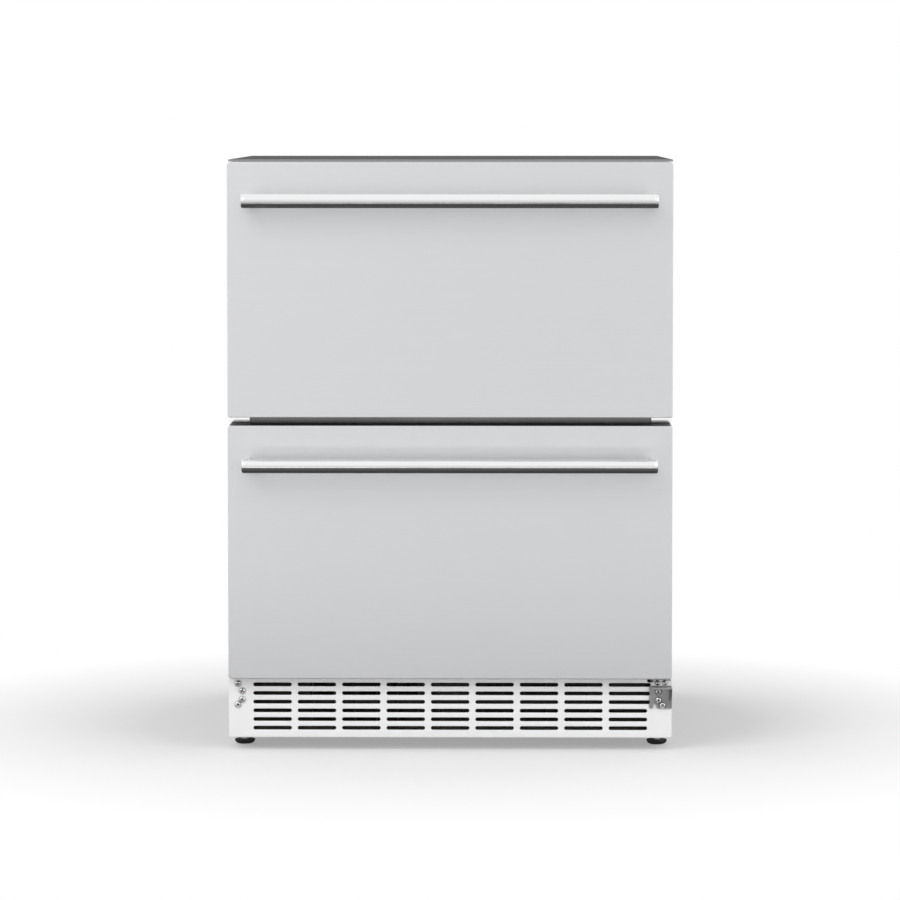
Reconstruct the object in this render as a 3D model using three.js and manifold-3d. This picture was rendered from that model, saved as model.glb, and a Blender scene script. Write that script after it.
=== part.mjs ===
// Undercounter drawer refrigerator, in millimetres.
// X runs from left to right as seen from the front, Y from the front to the back, Z up.
// The origin is on the floor, below the middle of the whole appliance, handles included.
import * as THREE from "three";
import { mergeVertices } from "three/addons/utils/BufferGeometryUtils.js";
import Module from "manifold-3d";

const wasm = await Module();
wasm.setup();

// ---------------------------------------------------------------- driving dimensions

// Cabinet and the stack of fronts
const cabinetWidth = 600;
const footHeight = 18; // floor to the underside of the base pan
const toeHeight = 83; // base pan to the bottom of the lower front
const frontHeight = 342;
const frontGap = 11; // between the two fronts
const topReveal = 3; // cabinet top above the upper front
const sideReveal = 1.5; // front's side edge to the cabinet's side
const frontThickness = 42;
const gasketDepth = 12;
const handleProjection = 50; // front face to the front of the bar

// Clearance between assembled pieces, and sheet thickness
const fit = 0.3;
const sheet = 1.5;

// Storage compartment
const flangeWidth = 28; // wrapper's front flanges
const wallThickness = 48; // side walls, outside to inside
const ceilingThickness = 35;
const backThickness = 40;
const sillHeight = 26; // compartment floor above the bottom of the lower front
const linerWall = 2;
const lipTuck = 12; // liner's lip behind the wrapper's flange
const railDrop = 2; // lower front rail below the compartment floor
const mullionHeight = 53;
const mullionDepth = 36;
const mullionStep = 2; // mullion's face plate beyond its body, top and bottom
const foamSkirt = 30; // foam below the compartment floor

// Machine compartment, low at the back
const machineHeight = 220;
const machineDepth = 185;
const machineWall = 30; // foam round the machine compartment
const rearInset = 2.5; // rear panels inside the wrapper's rear edge
const basePanThickness = 2;
const basePanLip = 15;

// Toe grille
const toeSetback = 22; // grille face behind the drawer fronts
const toeCorner = 3;
const toeTopGap = 2;
const slotColumns = 9;
const slotRows = 6;
const slotLength = 52;
const slotHeight = 4.8;
const slotPitchX = 60.1;
const slotPitchZ = 11.83;
const slotTopDrop = 10.7; // lower front's bottom to the centre of the top row
const cornerBlockWidth = 26;
const cornerBlockDepth = 12;

// Hinge-bracket hole pattern: distance from the cabinet side, and below the lower front
const bracketHoles = [
  [13, 9.6],
  [18.6, 19.5],
  [18.6, 31.2],
  [13, 38.2],
];
const screwHeadRadius = 4.1;
const screwHeadHeight = 2.6;
const screwShankRadius = 1.9;
const screwLength = 9;
const recessLength = 4.6;
const recessWidth = 1.1;
const recessDepth = 1.4;

// Hinge bracket
const bracketThickness = 2.5;
const bracketWidth = 30;
const bracketTopDrop = 12.5; // lower front's bottom to the leaf's upper face
const bracketHeight = 27;
const bracketLeaf = 12; // leaf in front of the plate
const bracketNotch = 2.8;
const bracketNotchSide = 23.5; // notch's centre from the cabinet side
const bracketNotchRise = 4;

// Levelling feet
const footPadRadius = 14;
const footPadHeight = 12.5;
const footPadCrown = 2.5;
const footStemRadius = 4;
const footStemLength = 42;
const footNutRadius = 7;
const footSideInset = 18; // foot axis from the cabinet side
const footFrontInset = 36; // foot axis behind the cabinet face
const footBackInset = 40;
const footBushWall = 5;
const footBushHeight = 26;

// Drawer front, handle and gasket
const skinThickness = 1.2;
const skinLip = 4;
const frontCorner = 3;
const gasketInset = 5; // gasket's outer edge inside the front's bottom and top
const gasketSideInset = 11.5;
const gasketWidth = 14;
const gasketNeck = 3; // neck narrower than the gasket on each side
const gasketBase = 3;
const gasketHead = 4;
const plugClearance = 8; // front's inner plug inside the opening
const plugInset = 9; // plug behind the cabinet face
const handleEndInset = 21; // bar's end from the front's side edge
const handleRadius = 9.5;
const handleEndRounding = 2.5;
const handleDrop = 51; // front's top to the bar's axis
const postRadius = 6;
const postFootRadius = 8.5;
const postFootHeight = 2;
const postInset = 8; // post axis from the bar's end

// Drawer bins and telescopic slides
const binWall = 3;
const binDepth = 412;
const binRearGap = 24.7; // bins in front of the evaporator cover
const binSideRim = 7;
const binClearance = 8; // bin above the floor and in front of the step
const binTopClearance = 27; // lower bin below the mullion
const upperBinLift = 15; // upper bin above the mullion
const upperBinTopClearance = 15; // upper bin below the control housing
const slideLength = 450;
const slideRearGap = 20; // least space behind the slides
const slideHeight = 45;
const slideWidth = 12.7;
const slideDrop = 82; // upper bin's rim to the slide's centre
const slideStepGap = 20.2; // lower slides above the liner's step
const slideSteel = 1.2;
const slideGap = 0.4;
const slideLipDepth = 10.2;

// Compressor and its drain pan
const compressorRadius = 72;
const compressorHeight = 150;
const compressorInset = 170; // axis from the cabinet's left side
const compressorPlateThickness = 3;
const compressorPlateMargin = 6;
const grommetRadius = 9;
const grommetHeight = 14;
const pipeStubRadius = 4;
const pipeStubLength = 12;
const terminalBox = [24, 46, 50];
const drainPanSize = 164;
const drainPanHeight = 24;
const drainPanWall = 2;

// Condenser coil, and the fan behind it
const condenserSideGap = 110; // from the cabinet's sides
const condenserDepth = 80;
const condenserHeight = 62;
const condenserSetback = 50; // behind the cabinet face
const condenserFins = 14;
const finThickness = 1.6;
const coilTubeRadius = 4.5;
const condenserFanInset = 190; // axis from the cabinet's right side
const condenserFanRadius = 62;
const condenserFanBlades = 5;
const condenserFanChord = 36;
const condenserHubRadius = 20;
const condenserMotorRadius = 22;
const shroudMargin = 26;
const shroudSetback = 8;

// Evaporator, its cover and fan
const evaporatorSideGap = 40; // inside the cover's sides
const evaporatorHeight = 230;
const evaporatorDepth = 30;
const evaporatorFins = 11;
const evaporatorLift = 60; // coil above the step
const coverSideGap = 22; // cover from the side walls
const coverLift = 30;
const coverTopGap = 18;
const coverDepth = 60; // cover's face in front of the rear wall
const coverWall = 2.5;
const evaporatorFanRadius = 45;
const evaporatorFanDrop = 92; // fan axis below the cover's top
const evaporatorFanBlades = 5;
const evaporatorFanChord = 26;
const evaporatorHubRadius = 14;
const evaporatorMotorRadius = 16;
const returnSlots = 7;
const returnSlotWidth = 34;
const returnSlotHeight = 8;

// Fans
const fanTipGap = 6;
const ductWall = 4;
const bladeThickness = 1.8;
const bladePitch = THREE.MathUtils.degToRad(28);
const shaftRadius = 3;
const hubLength = 14;
const spokeWidth = 8;
const spokeThickness = 4;

// Control housing with its buttons, and the lamp
const housingWidth = 180;
const housingDepth = 66;
const housingHeight = 28;
const housingSetback = 21; // behind the cabinet face
const buttonWidth = 14;
const buttonHeight = 9;
const buttonLength = 10.5;
const buttonProud = 2.5;
const buttonSpring = 2; // free space behind a button
const buttonCorner = 1.5;
const buttonPlaces = { power: -62, colder: 38, warmer: 62 };
const lampWidth = 220;
const lampDepth = 16;
const lampHeight = 7;
const lampGap = 22; // behind the control housing

// Rear machine cover and power inlet
const louvreColumns = 6;
const louvreRows = 4;
const louvreWidth = 54;
const louvreHeight = 5;
const louvrePitchX = 72;
const louvrePitchZ = 16;
const louvreTopDrop = 40;
const inletInset = 85; // from the cabinet's right side
const inletHeight = 48; // above the base pan
const inletFlange = [48, 30];
const inletBody = [30, 22];
const inletCavity = [25, 17];
const inletBodyDepth = 26;
const inletCavityDepth = 20;
const inletPin = [2, 5, 13];
const inletPinSpacing = 7;
const inletPinStagger = 2;

// Facets of round shapes
const roundSides = 24;
const smallSides = 12;
const tubeSides = 6;
const cornerSteps = 2;

// ---------------------------------------------------------------- derived places

const halfWidth = cabinetWidth / 2;
const compartmentDepth =
  plugInset + fit + Math.max(binDepth + binRearGap + coverDepth, slideLength + slideRearGap);
const cabinetDepth = compartmentDepth + backThickness;
const overallDepth = handleProjection + frontThickness + gasketDepth + cabinetDepth;
const backY = overallDepth / 2;
const faceY = backY - cabinetDepth;
const frontBackY = faceY - gasketDepth;
const frontFaceY = frontBackY - frontThickness;

const baseZ = footHeight;
const lowerFrontZ = baseZ + toeHeight;
const upperFrontZ = lowerFrontZ + frontHeight + frontGap;
const topZ = upperFrontZ + frontHeight + topReveal;
const floorZ = baseZ + basePanThickness + fit; // where machinery stands

const innerHalf = halfWidth - wallThickness;
const compartmentFloorZ = lowerFrontZ + sillHeight;
const compartmentTopZ = topZ - ceilingThickness;
const compartmentBackY = backY - backThickness;
const foamFloorZ = compartmentFloorZ - foamSkirt;
const railTopZ = compartmentFloorZ - railDrop;
const mullionZ = lowerFrontZ + frontHeight + frontGap / 2;
const mullionBottomZ = mullionZ - mullionHeight / 2;
const mullionTopZ = mullionZ + mullionHeight / 2;

const machineTopZ = baseZ + machineHeight;
const machineFrontY = backY - machineDepth;
const stepZ = machineTopZ + machineWall + fit + linerWall;
const stepY = machineFrontY - machineWall - fit - linerWall;
const rearPanelY = backY - rearInset - sheet;
const insideHalf = halfWidth - sheet - fit; // inside the wrapper's sides
const lipY = faceY + sheet + fit;
const foamFrontY = lipY + linerWall + fit;
const foamBackY = rearPanelY - fit;

const toeFaceY = frontFaceY + toeSetback;
const toeTopZ = lowerFrontZ - toeTopGap;
const plugBackY = faceY + plugInset;
const drawerInnerY = plugBackY + fit; // where the bins and slides begin
const binHalf = innerHalf - slideWidth;
const housingFrontY = faceY + housingSetback;
const housingBottomZ = compartmentTopZ - fit - housingHeight;

const machineMidY = (machineFrontY + rearPanelY) / 2;
const shroudY = machineFrontY + shroudSetback;
const coverY = compartmentBackY - coverDepth;
const coverHalf = innerHalf - coverSideGap;
const evaporatorWidth = 2 * (coverHalf - evaporatorSideGap);
const condenserWidth = cabinetWidth - 2 * condenserSideGap;
const compressorX = -halfWidth + compressorInset;
const condenserFanX = halfWidth - condenserFanInset;
const inletX = halfWidth - inletInset;
const handleLength = 2 * (halfWidth - sideReveal - handleEndInset);

// ---------------------------------------------------------------- solids

// A closed geometry as a solid that can be joined and cut.
function solidOf(geometry) {
  const bare = geometry.clone();
  bare.deleteAttribute("normal");
  bare.deleteAttribute("uv");
  const merged = mergeVertices(bare);
  return new wasm.Manifold(
    new wasm.Mesh({
      numProp: 3,
      vertProperties: merged.attributes.position.array,
      triVerts: new Uint32Array(merged.index.array),
    }),
  );
}

function geometryOf(solid) {
  const mesh = solid.getMesh();
  const geometry = new THREE.BufferGeometry();
  geometry.setAttribute("position", new THREE.BufferAttribute(mesh.vertProperties, mesh.numProp));
  geometry.setIndex(new THREE.BufferAttribute(mesh.triVerts, 1));
  geometry.computeVertexNormals();
  return geometry;
}

function join(solids) {
  return solids.reduce((whole, piece) => whole.add(piece));
}

function cut(solid, tools) {
  return tools.reduce((left, tool) => left.subtract(tool), solid);
}

// A rectangular block between two corners.
function block([x0, x1], [y0, y1], [z0, z1]) {
  const geometry = new THREE.BoxGeometry(x1 - x0, y1 - y0, z1 - z0);
  geometry.translate((x0 + x1) / 2, (y0 + y1) / 2, (z0 + z1) / 2);
  return solidOf(geometry);
}

const axisBases = {
  x: [new THREE.Vector3(0, 1, 0), new THREE.Vector3(0, 0, 1), new THREE.Vector3(1, 0, 0)],
  y: [new THREE.Vector3(0, 0, 1), new THREE.Vector3(1, 0, 0), new THREE.Vector3(0, 1, 0)],
  z: [new THREE.Vector3(1, 0, 0), new THREE.Vector3(0, 1, 0), new THREE.Vector3(0, 0, 1)],
};

// An outline drawn in the two axes that follow the given one, pushed along it from start to end.
function prism(axis, shape, start, end) {
  const options = { depth: end - start, bevelEnabled: false, curveSegments: cornerSteps };
  const geometry = new THREE.ExtrudeGeometry(shape, options);
  geometry.translate(0, 0, start);
  geometry.applyMatrix4(new THREE.Matrix4().makeBasis(...axisBases[axis]));
  return solidOf(geometry);
}

// A profile of [radius, height] points turned about the given axis.
function turned(axis, profile, sides = roundSides) {
  const points = profile.map(([radius, height]) => new THREE.Vector2(radius, height));
  const geometry = new THREE.LatheGeometry(points, sides);
  geometry.rotateX(Math.PI / 2);
  geometry.applyMatrix4(new THREE.Matrix4().makeBasis(...axisBases[axis]));
  return solidOf(geometry);
}

function rod(axis, radius, start, end, sides = roundSides) {
  return turned(axis, [[0, start], [radius, start], [radius, end], [0, end]], sides);
}

function polygon(points) {
  return new THREE.Shape(points.map(([a, b]) => new THREE.Vector2(a, b)));
}

// A rectangle with round corners, from [a0, b0] to [a1, b1].
function roundedRectangle([a0, a1], [b0, b1], radius) {
  const shape = new THREE.Shape();
  shape.absarc(a1 - radius, b0 + radius, radius, -Math.PI / 2, 0);
  shape.absarc(a1 - radius, b1 - radius, radius, 0, Math.PI / 2);
  shape.absarc(a0 + radius, b1 - radius, radius, Math.PI / 2, Math.PI);
  shape.absarc(a0 + radius, b0 + radius, radius, Math.PI, Math.PI * 1.5);
  return shape;
}

// Upright plates face the front, so their outlines are drawn in Z and X.
function plate(shape, y0, y1) {
  return prism("y", shape, y0, y1);
}

function ring(outer, inner, y0, y1) {
  outer.holes.push(inner);
  return plate(outer, y0, y1);
}

function symmetric(half) {
  return [-half, half];
}

// ---------------------------------------------------------------- finishes

const finishes = {
  stainless: { color: 0xc4c6c8, roughness: 0.32, metalness: 1 },
  handleSteel: { color: 0xd0d1d2, roughness: 0.24, metalness: 1 },
  galvanised: { color: 0xa9adb0, roughness: 0.5, metalness: 0.9 },
  screwSteel: { color: 0xd8d9da, roughness: 0.28, metalness: 1 },
  blackPlastic: { color: 0x17181a, roughness: 0.45, metalness: 0 },
  glossBlack: { color: 0x101113, roughness: 0.15, metalness: 0 },
  greyPlastic: { color: 0x55595d, roughness: 0.5, metalness: 0 },
  binPlastic: { color: 0x9a9fa3, roughness: 0.4, metalness: 0 },
  rubber: { color: 0x141414, roughness: 0.8, metalness: 0 },
  foam: { color: 0xd9c48a, roughness: 0.9, metalness: 0 },
  blackPaint: { color: 0x1a1b1c, roughness: 0.5, metalness: 0.3 },
  coil: { color: 0xb9bcbe, roughness: 0.45, metalness: 1 },
  lens: { color: 0xf2f4f5, roughness: 0.35, metalness: 0 },
};

function addPiece(group, name, solid, finish) {
  const mesh = new THREE.Mesh(geometryOf(solid), new THREE.MeshStandardMaterial(finish));
  mesh.name = name;
  group.add(mesh);
  return mesh;
}

// ---------------------------------------------------------------- cabinet

// One folded sheet: sides and top, and flanges round both openings at the front.
function cabinetWrapper() {
  const inner = halfWidth - sheet;
  const arch = polygon([
    [baseZ, -halfWidth],
    [topZ, -halfWidth],
    [topZ, halfWidth],
    [baseZ, halfWidth],
    [baseZ, inner],
    [topZ - sheet, inner],
    [topZ - sheet, -inner],
    [baseZ, -inner],
  ]);
  const edge = halfWidth - flangeWidth;
  const face = polygon([
    [baseZ, -halfWidth],
    [topZ, -halfWidth],
    [topZ, halfWidth],
    [baseZ, halfWidth],
    [baseZ, edge],
    [foamFloorZ, edge],
    [foamFloorZ, -edge],
    [baseZ, -edge],
  ]);
  const opening = roundedRectangle([railTopZ, topZ - flangeWidth], symmetric(edge), sheet);
  return plate(arch, faceY, backY).add(ring(face, opening, faceY, faceY + sheet));
}

function rearPanel() {
  return block(
    symmetric(insideHalf),
    [rearPanelY, rearPanelY + sheet],
    [machineTopZ + fit, topZ - sheet - fit],
  );
}

// Louvred cover of the machine compartment, cut out for the power inlet.
function rearMachineCover() {
  const y = [rearPanelY, rearPanelY + sheet];
  const cover = block(symmetric(insideHalf), y, [floorZ, machineTopZ]);
  const cutY = [y[0] - sheet, y[1] + sheet];
  const cuts = [];
  for (let column = 0; column < louvreColumns; column++) {
    for (let row = 0; row < louvreRows; row++) {
      const x = (column - (louvreColumns - 1) / 2) * louvrePitchX;
      const z = machineTopZ - louvreTopDrop - row * louvrePitchZ;
      cuts.push(block([x - louvreWidth / 2, x + louvreWidth / 2], cutY, [z, z + louvreHeight]));
    }
  }
  const [width, height] = inletBody;
  const z = baseZ + inletHeight;
  cuts.push(
    block(
      [inletX - width / 2 - fit, inletX + width / 2 + fit],
      cutY,
      [z - height / 2 - fit, z + height / 2 + fit],
    ),
  );
  return cut(cover, cuts);
}

const footPlaces = {
  front_left: [-halfWidth + footSideInset, faceY + footFrontInset],
  front_right: [halfWidth - footSideInset, faceY + footFrontInset],
  rear_left: [-halfWidth + footSideInset, backY - footBackInset],
  rear_right: [halfWidth - footSideInset, backY - footBackInset],
};

// Tray under the appliance, with a threaded bush for each foot.
function basePan() {
  const y = [faceY + sheet + fit, rearPanelY - fit];
  const top = baseZ + basePanThickness;
  const tray = block(symmetric(insideHalf), y, [baseZ, top + basePanLip]);
  const hollow = block(symmetric(insideHalf - sheet), [y[0] - sheet, y[1] + sheet], [top, topZ]);
  const bushes = [];
  const bores = [];
  for (const [x, footY] of Object.values(footPlaces)) {
    const bush = rod("z", footStemRadius + footBushWall, baseZ, baseZ + footBushHeight);
    const bore = rod("z", footStemRadius + fit, 0, topZ, smallSides);
    bushes.push(bush.translate(x, footY, 0));
    bores.push(bore.translate(x, footY, 0));
  }
  return cut(join([tray.subtract(hollow), ...bushes]), bores);
}

// Outline of the storage space in Y and Z, stepped up over the machine compartment.
function compartmentOutline(grow, frontY) {
  return polygon([
    [frontY, compartmentFloorZ - grow],
    [stepY + grow, compartmentFloorZ - grow],
    [stepY + grow, stepZ - grow],
    [compartmentBackY + grow, stepZ - grow],
    [compartmentBackY + grow, compartmentTopZ + grow],
    [frontY, compartmentTopZ + grow],
  ]);
}

function compartment(grow, frontY) {
  return prism("x", compartmentOutline(grow, frontY), -innerHalf - grow, innerHalf + grow);
}

function insulationFoam() {
  const fill = block(symmetric(insideHalf), [foamFrontY, foamBackY], [foamFloorZ, topZ - sheet - fit]);
  const machineSpace = block(
    symmetric(halfWidth),
    [machineFrontY, backY],
    [baseZ, machineTopZ],
  );
  return cut(fill, [compartment(linerWall + fit, faceY), machineSpace]);
}

// Moulded liner with a lip behind the wrapper's flanges.
function innerLiner() {
  const lipHalf = halfWidth - flangeWidth + lipTuck;
  const lip = block(
    symmetric(lipHalf),
    [lipY, lipY + linerWall],
    [railTopZ - lipTuck, topZ - flangeWidth + lipTuck],
  );
  const shell = compartment(linerWall, lipY);
  return shell.add(lip).subtract(compartment(0, faceY));
}

function mullionRail() {
  const faceHalf = halfWidth - flangeWidth - fit;
  const face = block(
    symmetric(faceHalf),
    [faceY, faceY + sheet],
    [mullionBottomZ, mullionTopZ],
  );
  const body = block(
    symmetric(innerHalf - fit),
    [faceY + sheet / 2, faceY + mullionDepth],
    [mullionBottomZ + mullionStep, mullionTopZ - mullionStep],
  );
  return face.add(body);
}

// ---------------------------------------------------------------- toe grille and bracket

function bracketPoint(index, side) {
  const [inset, drop] = bracketHoles[index];
  return [side * (halfWidth - inset), lowerFrontZ - drop];
}

// A folded box in front of the base, pierced by round-ended slots.
function toeGrille() {
  const outer = roundedRectangle([baseZ, toeTopZ], symmetric(halfWidth), toeCorner);
  const box = plate(outer, toeFaceY, faceY - fit);
  const hollow = block(
    symmetric(halfWidth - sheet),
    [toeFaceY + sheet, faceY],
    [baseZ + sheet, toeTopZ - sheet],
  );
  const blocks = [];
  const cuts = [];
  for (const side of [-1, 1]) {
    const from = side * (halfWidth - sheet / 2);
    const to = side * (halfWidth - cornerBlockWidth);
    const y = [toeFaceY + sheet / 2, toeFaceY + cornerBlockDepth];
    const bottomZ = bracketPoint(3, side)[1] - screwHeadRadius;
    const boreEnd = toeFaceY + screwLength + fit;
    blocks.push(block([Math.min(from, to), Math.max(from, to)], y, [bottomZ, toeTopZ - sheet / 2]));
    bracketHoles.forEach((hole, index) => {
      const [x, z] = bracketPoint(index, side);
      const bore = rod("y", screwShankRadius + fit, toeFaceY - sheet, boreEnd, smallSides);
      cuts.push(bore.translate(x, 0, z));
    });
  }
  const slot = grilleSlot();
  for (let column = 0; column < slotColumns; column++) {
    for (let row = 0; row < slotRows; row++) {
      const x = (column - (slotColumns - 1) / 2) * slotPitchX;
      const z = lowerFrontZ - slotTopDrop - row * slotPitchZ;
      cuts.push(slot.translate(x, 0, z));
    }
  }
  return cut(join([box.subtract(hollow), ...blocks]), cuts);
}

function grilleSlot() {
  const radius = slotHeight / 2;
  const centre = slotLength / 2 - radius;
  const outline = new THREE.Shape();
  outline.absarc(0, centre, radius, 0, Math.PI);
  outline.absarc(0, -centre, radius, Math.PI, 2 * Math.PI);
  return plate(outline, toeFaceY - sheet, toeFaceY + 2 * sheet);
}

// Bottom hinge bracket: a plate with a leaf standing forward under the lower front.
function hingeBracket() {
  const backFaceY = toeFaceY - fit;
  const plateY = [backFaceY - bracketThickness, backFaceY];
  const right = halfWidth - fit;
  const left = right - bracketWidth;
  const leafTop = lowerFrontZ - bracketTopDrop;
  const bottom = leafTop - bracketThickness - bracketHeight;
  const upright = block([left, right], plateY, [bottom, leafTop]);
  const leaf = block(
    [left + bracketThickness, right],
    [plateY[0] - bracketLeaf, backFaceY],
    [leafTop - bracketThickness, leafTop],
  );
  const gusset = prism(
    "x",
    polygon([
      [plateY[0] - bracketLeaf, leafTop - bracketThickness / 2],
      [plateY[0] + bracketThickness / 2, bottom + bracketHeight / 4],
      [plateY[0] + bracketThickness / 2, leafTop - bracketThickness / 2],
    ]),
    right - bracketThickness,
    right,
  );
  const cuts = [];
  for (const index of [1, 2, 3]) {
    const [x, z] = bracketPoint(index, 1);
    const bore = rod("y", screwShankRadius + fit, plateY[0] - sheet, toeFaceY, smallSides);
    cuts.push(bore.translate(x, 0, z));
  }
  const notchX = halfWidth - bracketNotchSide;
  const notchZ = bottom + bracketNotchRise;
  const round = rod("y", bracketNotch, plateY[0] - sheet, toeFaceY, smallSides);
  cuts.push(round.translate(notchX, 0, notchZ));
  cuts.push(
    block(
      [notchX - bracketNotch, notchX + bracketNotch],
      [plateY[0] - sheet, toeFaceY],
      [bottom - sheet, notchZ],
    ),
  );
  return cut(join([upright, leaf, gusset]), cuts);
}

// Pan-head screw along Y, its head's underside at seatY, with a cross recess.
function crossScrew(seatY, tipY) {
  const crown = screwHeadHeight / 2;
  const head = seatY - screwHeadHeight;
  const body = turned(
    "y",
    [
      [0, head],
      [screwHeadRadius * 0.55, head],
      [screwHeadRadius * 0.88, head + crown / 2],
      [screwHeadRadius, head + crown],
      [screwHeadRadius, seatY],
      [screwShankRadius, seatY],
      [screwShankRadius, tipY],
      [0, tipY],
    ],
    smallSides,
  );
  const y = [head - recessDepth, head + recessDepth];
  const across = block(symmetric(recessLength / 2), y, symmetric(recessWidth / 2));
  const upright = block(symmetric(recessWidth / 2), y, symmetric(recessLength / 2));
  return cut(body, [across, upright]);
}

// ---------------------------------------------------------------- feet

// Ribbed pad, hexagon nut and threaded stem, standing on the floor at its own origin.
function levellingFoot() {
  const crownRadius = footPadRadius - footPadCrown;
  const pad = turned("z", [
    [0, 0],
    [crownRadius, 0],
    [footPadRadius, footPadCrown],
    [footPadRadius, footPadHeight - footPadCrown],
    [crownRadius, footPadHeight],
    [0, footPadHeight],
  ]);
  const nut = rod("z", footNutRadius, footPadHeight / 2, footHeight - fit, 6);
  const stem = rod("z", footStemRadius, footPadHeight / 2, footPadHeight + footStemLength, smallSides);
  return join([pad, nut, stem]);
}

// ---------------------------------------------------------------- machinery

// Hermetic compressor on rubber grommets.
function compressor() {
  const plateZ = floorZ + grommetHeight;
  const bodyZ = plateZ + compressorPlateThickness;
  const radius = compressorRadius;
  const height = compressorHeight;
  const shell = turned("z", [
    [0, plateZ],
    [radius * 0.8, plateZ],
    [radius * 0.97, bodyZ + height * 0.12],
    [radius, bodyZ + height * 0.4],
    [radius * 0.97, bodyZ + height * 0.72],
    [radius * 0.8, bodyZ + height * 0.9],
    [radius * 0.45, bodyZ + height],
    [0, bodyZ + height],
  ]);
  const reach = radius + compressorPlateMargin;
  const foot = block(symmetric(reach), symmetric(radius), [plateZ, bodyZ]);
  const pieces = [shell, foot];
  for (const x of symmetric(reach - grommetRadius)) {
    for (const y of symmetric(radius - grommetRadius)) {
      const grommet = rod("z", grommetRadius, floorZ, bodyZ, smallSides);
      pieces.push(grommet.translate(x, y, 0));
    }
  }
  const midZ = bodyZ + height / 2;
  const [boxWidth, boxDepth, boxHeight] = terminalBox;
  pieces.push(
    block(
      [-radius - boxWidth / 2, -radius + boxWidth / 2],
      symmetric(boxDepth / 2),
      [midZ - boxHeight / 2, midZ + boxHeight / 2],
    ),
  );
  for (const [turn, rise] of [[0.5, 0.2], [-0.5, -0.25], [0, 0.1]]) {
    const stub = rod("x", pipeStubRadius, radius * 0.9, radius + pipeStubLength, smallSides);
    pieces.push(stub.rotate([0, 0, THREE.MathUtils.radToDeg(turn)]).translate(0, 0, midZ + rise * height));
  }
  return join(pieces);
}

// Open tray that catches defrost water on top of the warm compressor.
function drainPan() {
  const bottom = floorZ + grommetHeight + compressorPlateThickness + compressorHeight + fit;
  const half = drainPanSize / 2;
  const tray = block(symmetric(half), symmetric(half), [bottom, bottom + drainPanHeight]);
  const inside = half - drainPanWall;
  return tray.subtract(block(symmetric(inside), symmetric(inside), [bottom + drainPanWall, topZ]));
}

// A row of upright fins on horizontal tubes, from its own lower front corner's middle.
function finnedCoil(width, depth, height, fins, tubePlaces) {
  const pieces = [];
  for (let index = 0; index < fins; index++) {
    const x = -width / 2 + ((width - finThickness) * index) / (fins - 1);
    pieces.push(block([x, x + finThickness], [0, depth], [0, height]));
  }
  for (const [y, z] of tubePlaces) {
    const tube = rod("x", coilTubeRadius, -width / 2 - coilTubeRadius, width / 2 + coilTubeRadius, tubeSides);
    pieces.push(tube.translate(0, y, z));
  }
  return join(pieces);
}

function condenser() {
  const places = [0.25, 0.75].map((share) => [condenserDepth * share, condenserHeight / 2]);
  return finnedCoil(condenserWidth, condenserDepth, condenserHeight, condenserFins, places);
}

function evaporator() {
  const places = [0.2, 0.5, 0.8].map((share) => [evaporatorDepth / 2, evaporatorHeight * share]);
  return finnedCoil(evaporatorWidth, evaporatorDepth, evaporatorHeight, evaporatorFins, places);
}

// Length along the axis that a fan's blades sweep.
function bladeSweep(chord) {
  return chord * Math.sin(bladePitch) + bladeThickness;
}

// Fan on its own axis along Y, with the middle of its hub at the origin and its shaft behind.
function fanWheel(radius, hubRadius, blades, chord, shaftEnd) {
  const pieces = [
    rod("y", hubRadius, -hubLength / 2, hubLength / 2),
    rod("y", shaftRadius, 0, shaftEnd, smallSides),
  ];
  for (let index = 0; index < blades; index++) {
    const blade = new THREE.BoxGeometry(radius - hubRadius / 2, bladeThickness, chord);
    blade.translate((radius + hubRadius / 2) / 2, 0, 0);
    blade.rotateX(bladePitch);
    blade.rotateY((index * 2 * Math.PI) / blades);
    pieces.push(solidOf(blade));
  }
  const tips = rod("y", radius, -radius, radius, 2 * roundSides);
  const shaft = pieces.splice(1, 1)[0];
  return join(pieces).intersect(tips).add(shaft);
}

// Where the spokes behind a fan begin, from the middle of its hub.
function spokeStart(chord) {
  return Math.max(bladeSweep(chord), hubLength) / 2 + fanTipGap / 2;
}

// Duct round a fan, with cross spokes that hold the bored motor behind it.
function fanMount(radius, chord, motorRadius, ductStart) {
  const bore = radius + fanTipGap;
  const spokeY = spokeStart(chord);
  const ductEnd = spokeY + spokeThickness;
  const duct = rod("y", bore + ductWall, ductStart, ductEnd);
  const hollow = rod("y", bore, ductStart - sheet, ductEnd + sheet);
  const reach = bore + ductWall / 2;
  const half = spokeWidth / 2;
  const spokes = block(symmetric(reach), [spokeY, ductEnd], symmetric(half)).add(
    block(symmetric(half), [spokeY, ductEnd], symmetric(reach)),
  );
  const motor = rod("y", motorRadius, spokeY, spokeY + motorRadius * 1.4);
  const shaftHole = rod("y", shaftRadius + fit, 0, spokeY + motorRadius, smallSides);
  return join([duct.subtract(hollow), spokes, motor]).subtract(shaftHole);
}

const condenserFanZ = floorZ + condenserFanRadius + fanTipGap + ductWall + shroudMargin;

function condenserFanShroud() {
  const chord = condenserFanChord;
  const start = -bladeSweep(chord) / 2 - fanTipGap / 2;
  const half = condenserFanRadius + fanTipGap + ductWall + shroudMargin / 2;
  const board = block(
    symmetric(half),
    [start, start + basePanThickness],
    [floorZ - condenserFanZ, half],
  );
  const hole = rod("y", condenserFanRadius + fanTipGap, start - sheet, start + 2 * basePanThickness);
  return fanMount(condenserFanRadius, chord, condenserMotorRadius, start).add(board.subtract(hole));
}

// ---------------------------------------------------------------- cold side

const coverTopZ = compartmentTopZ - coverTopGap;
const coverBottomZ = stepZ + coverLift;
const evaporatorFanZ = coverTopZ - evaporatorFanDrop;
const evaporatorFanY = coverY + coverWall + fanTipGap + bladeSweep(evaporatorFanChord) / 2;

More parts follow.
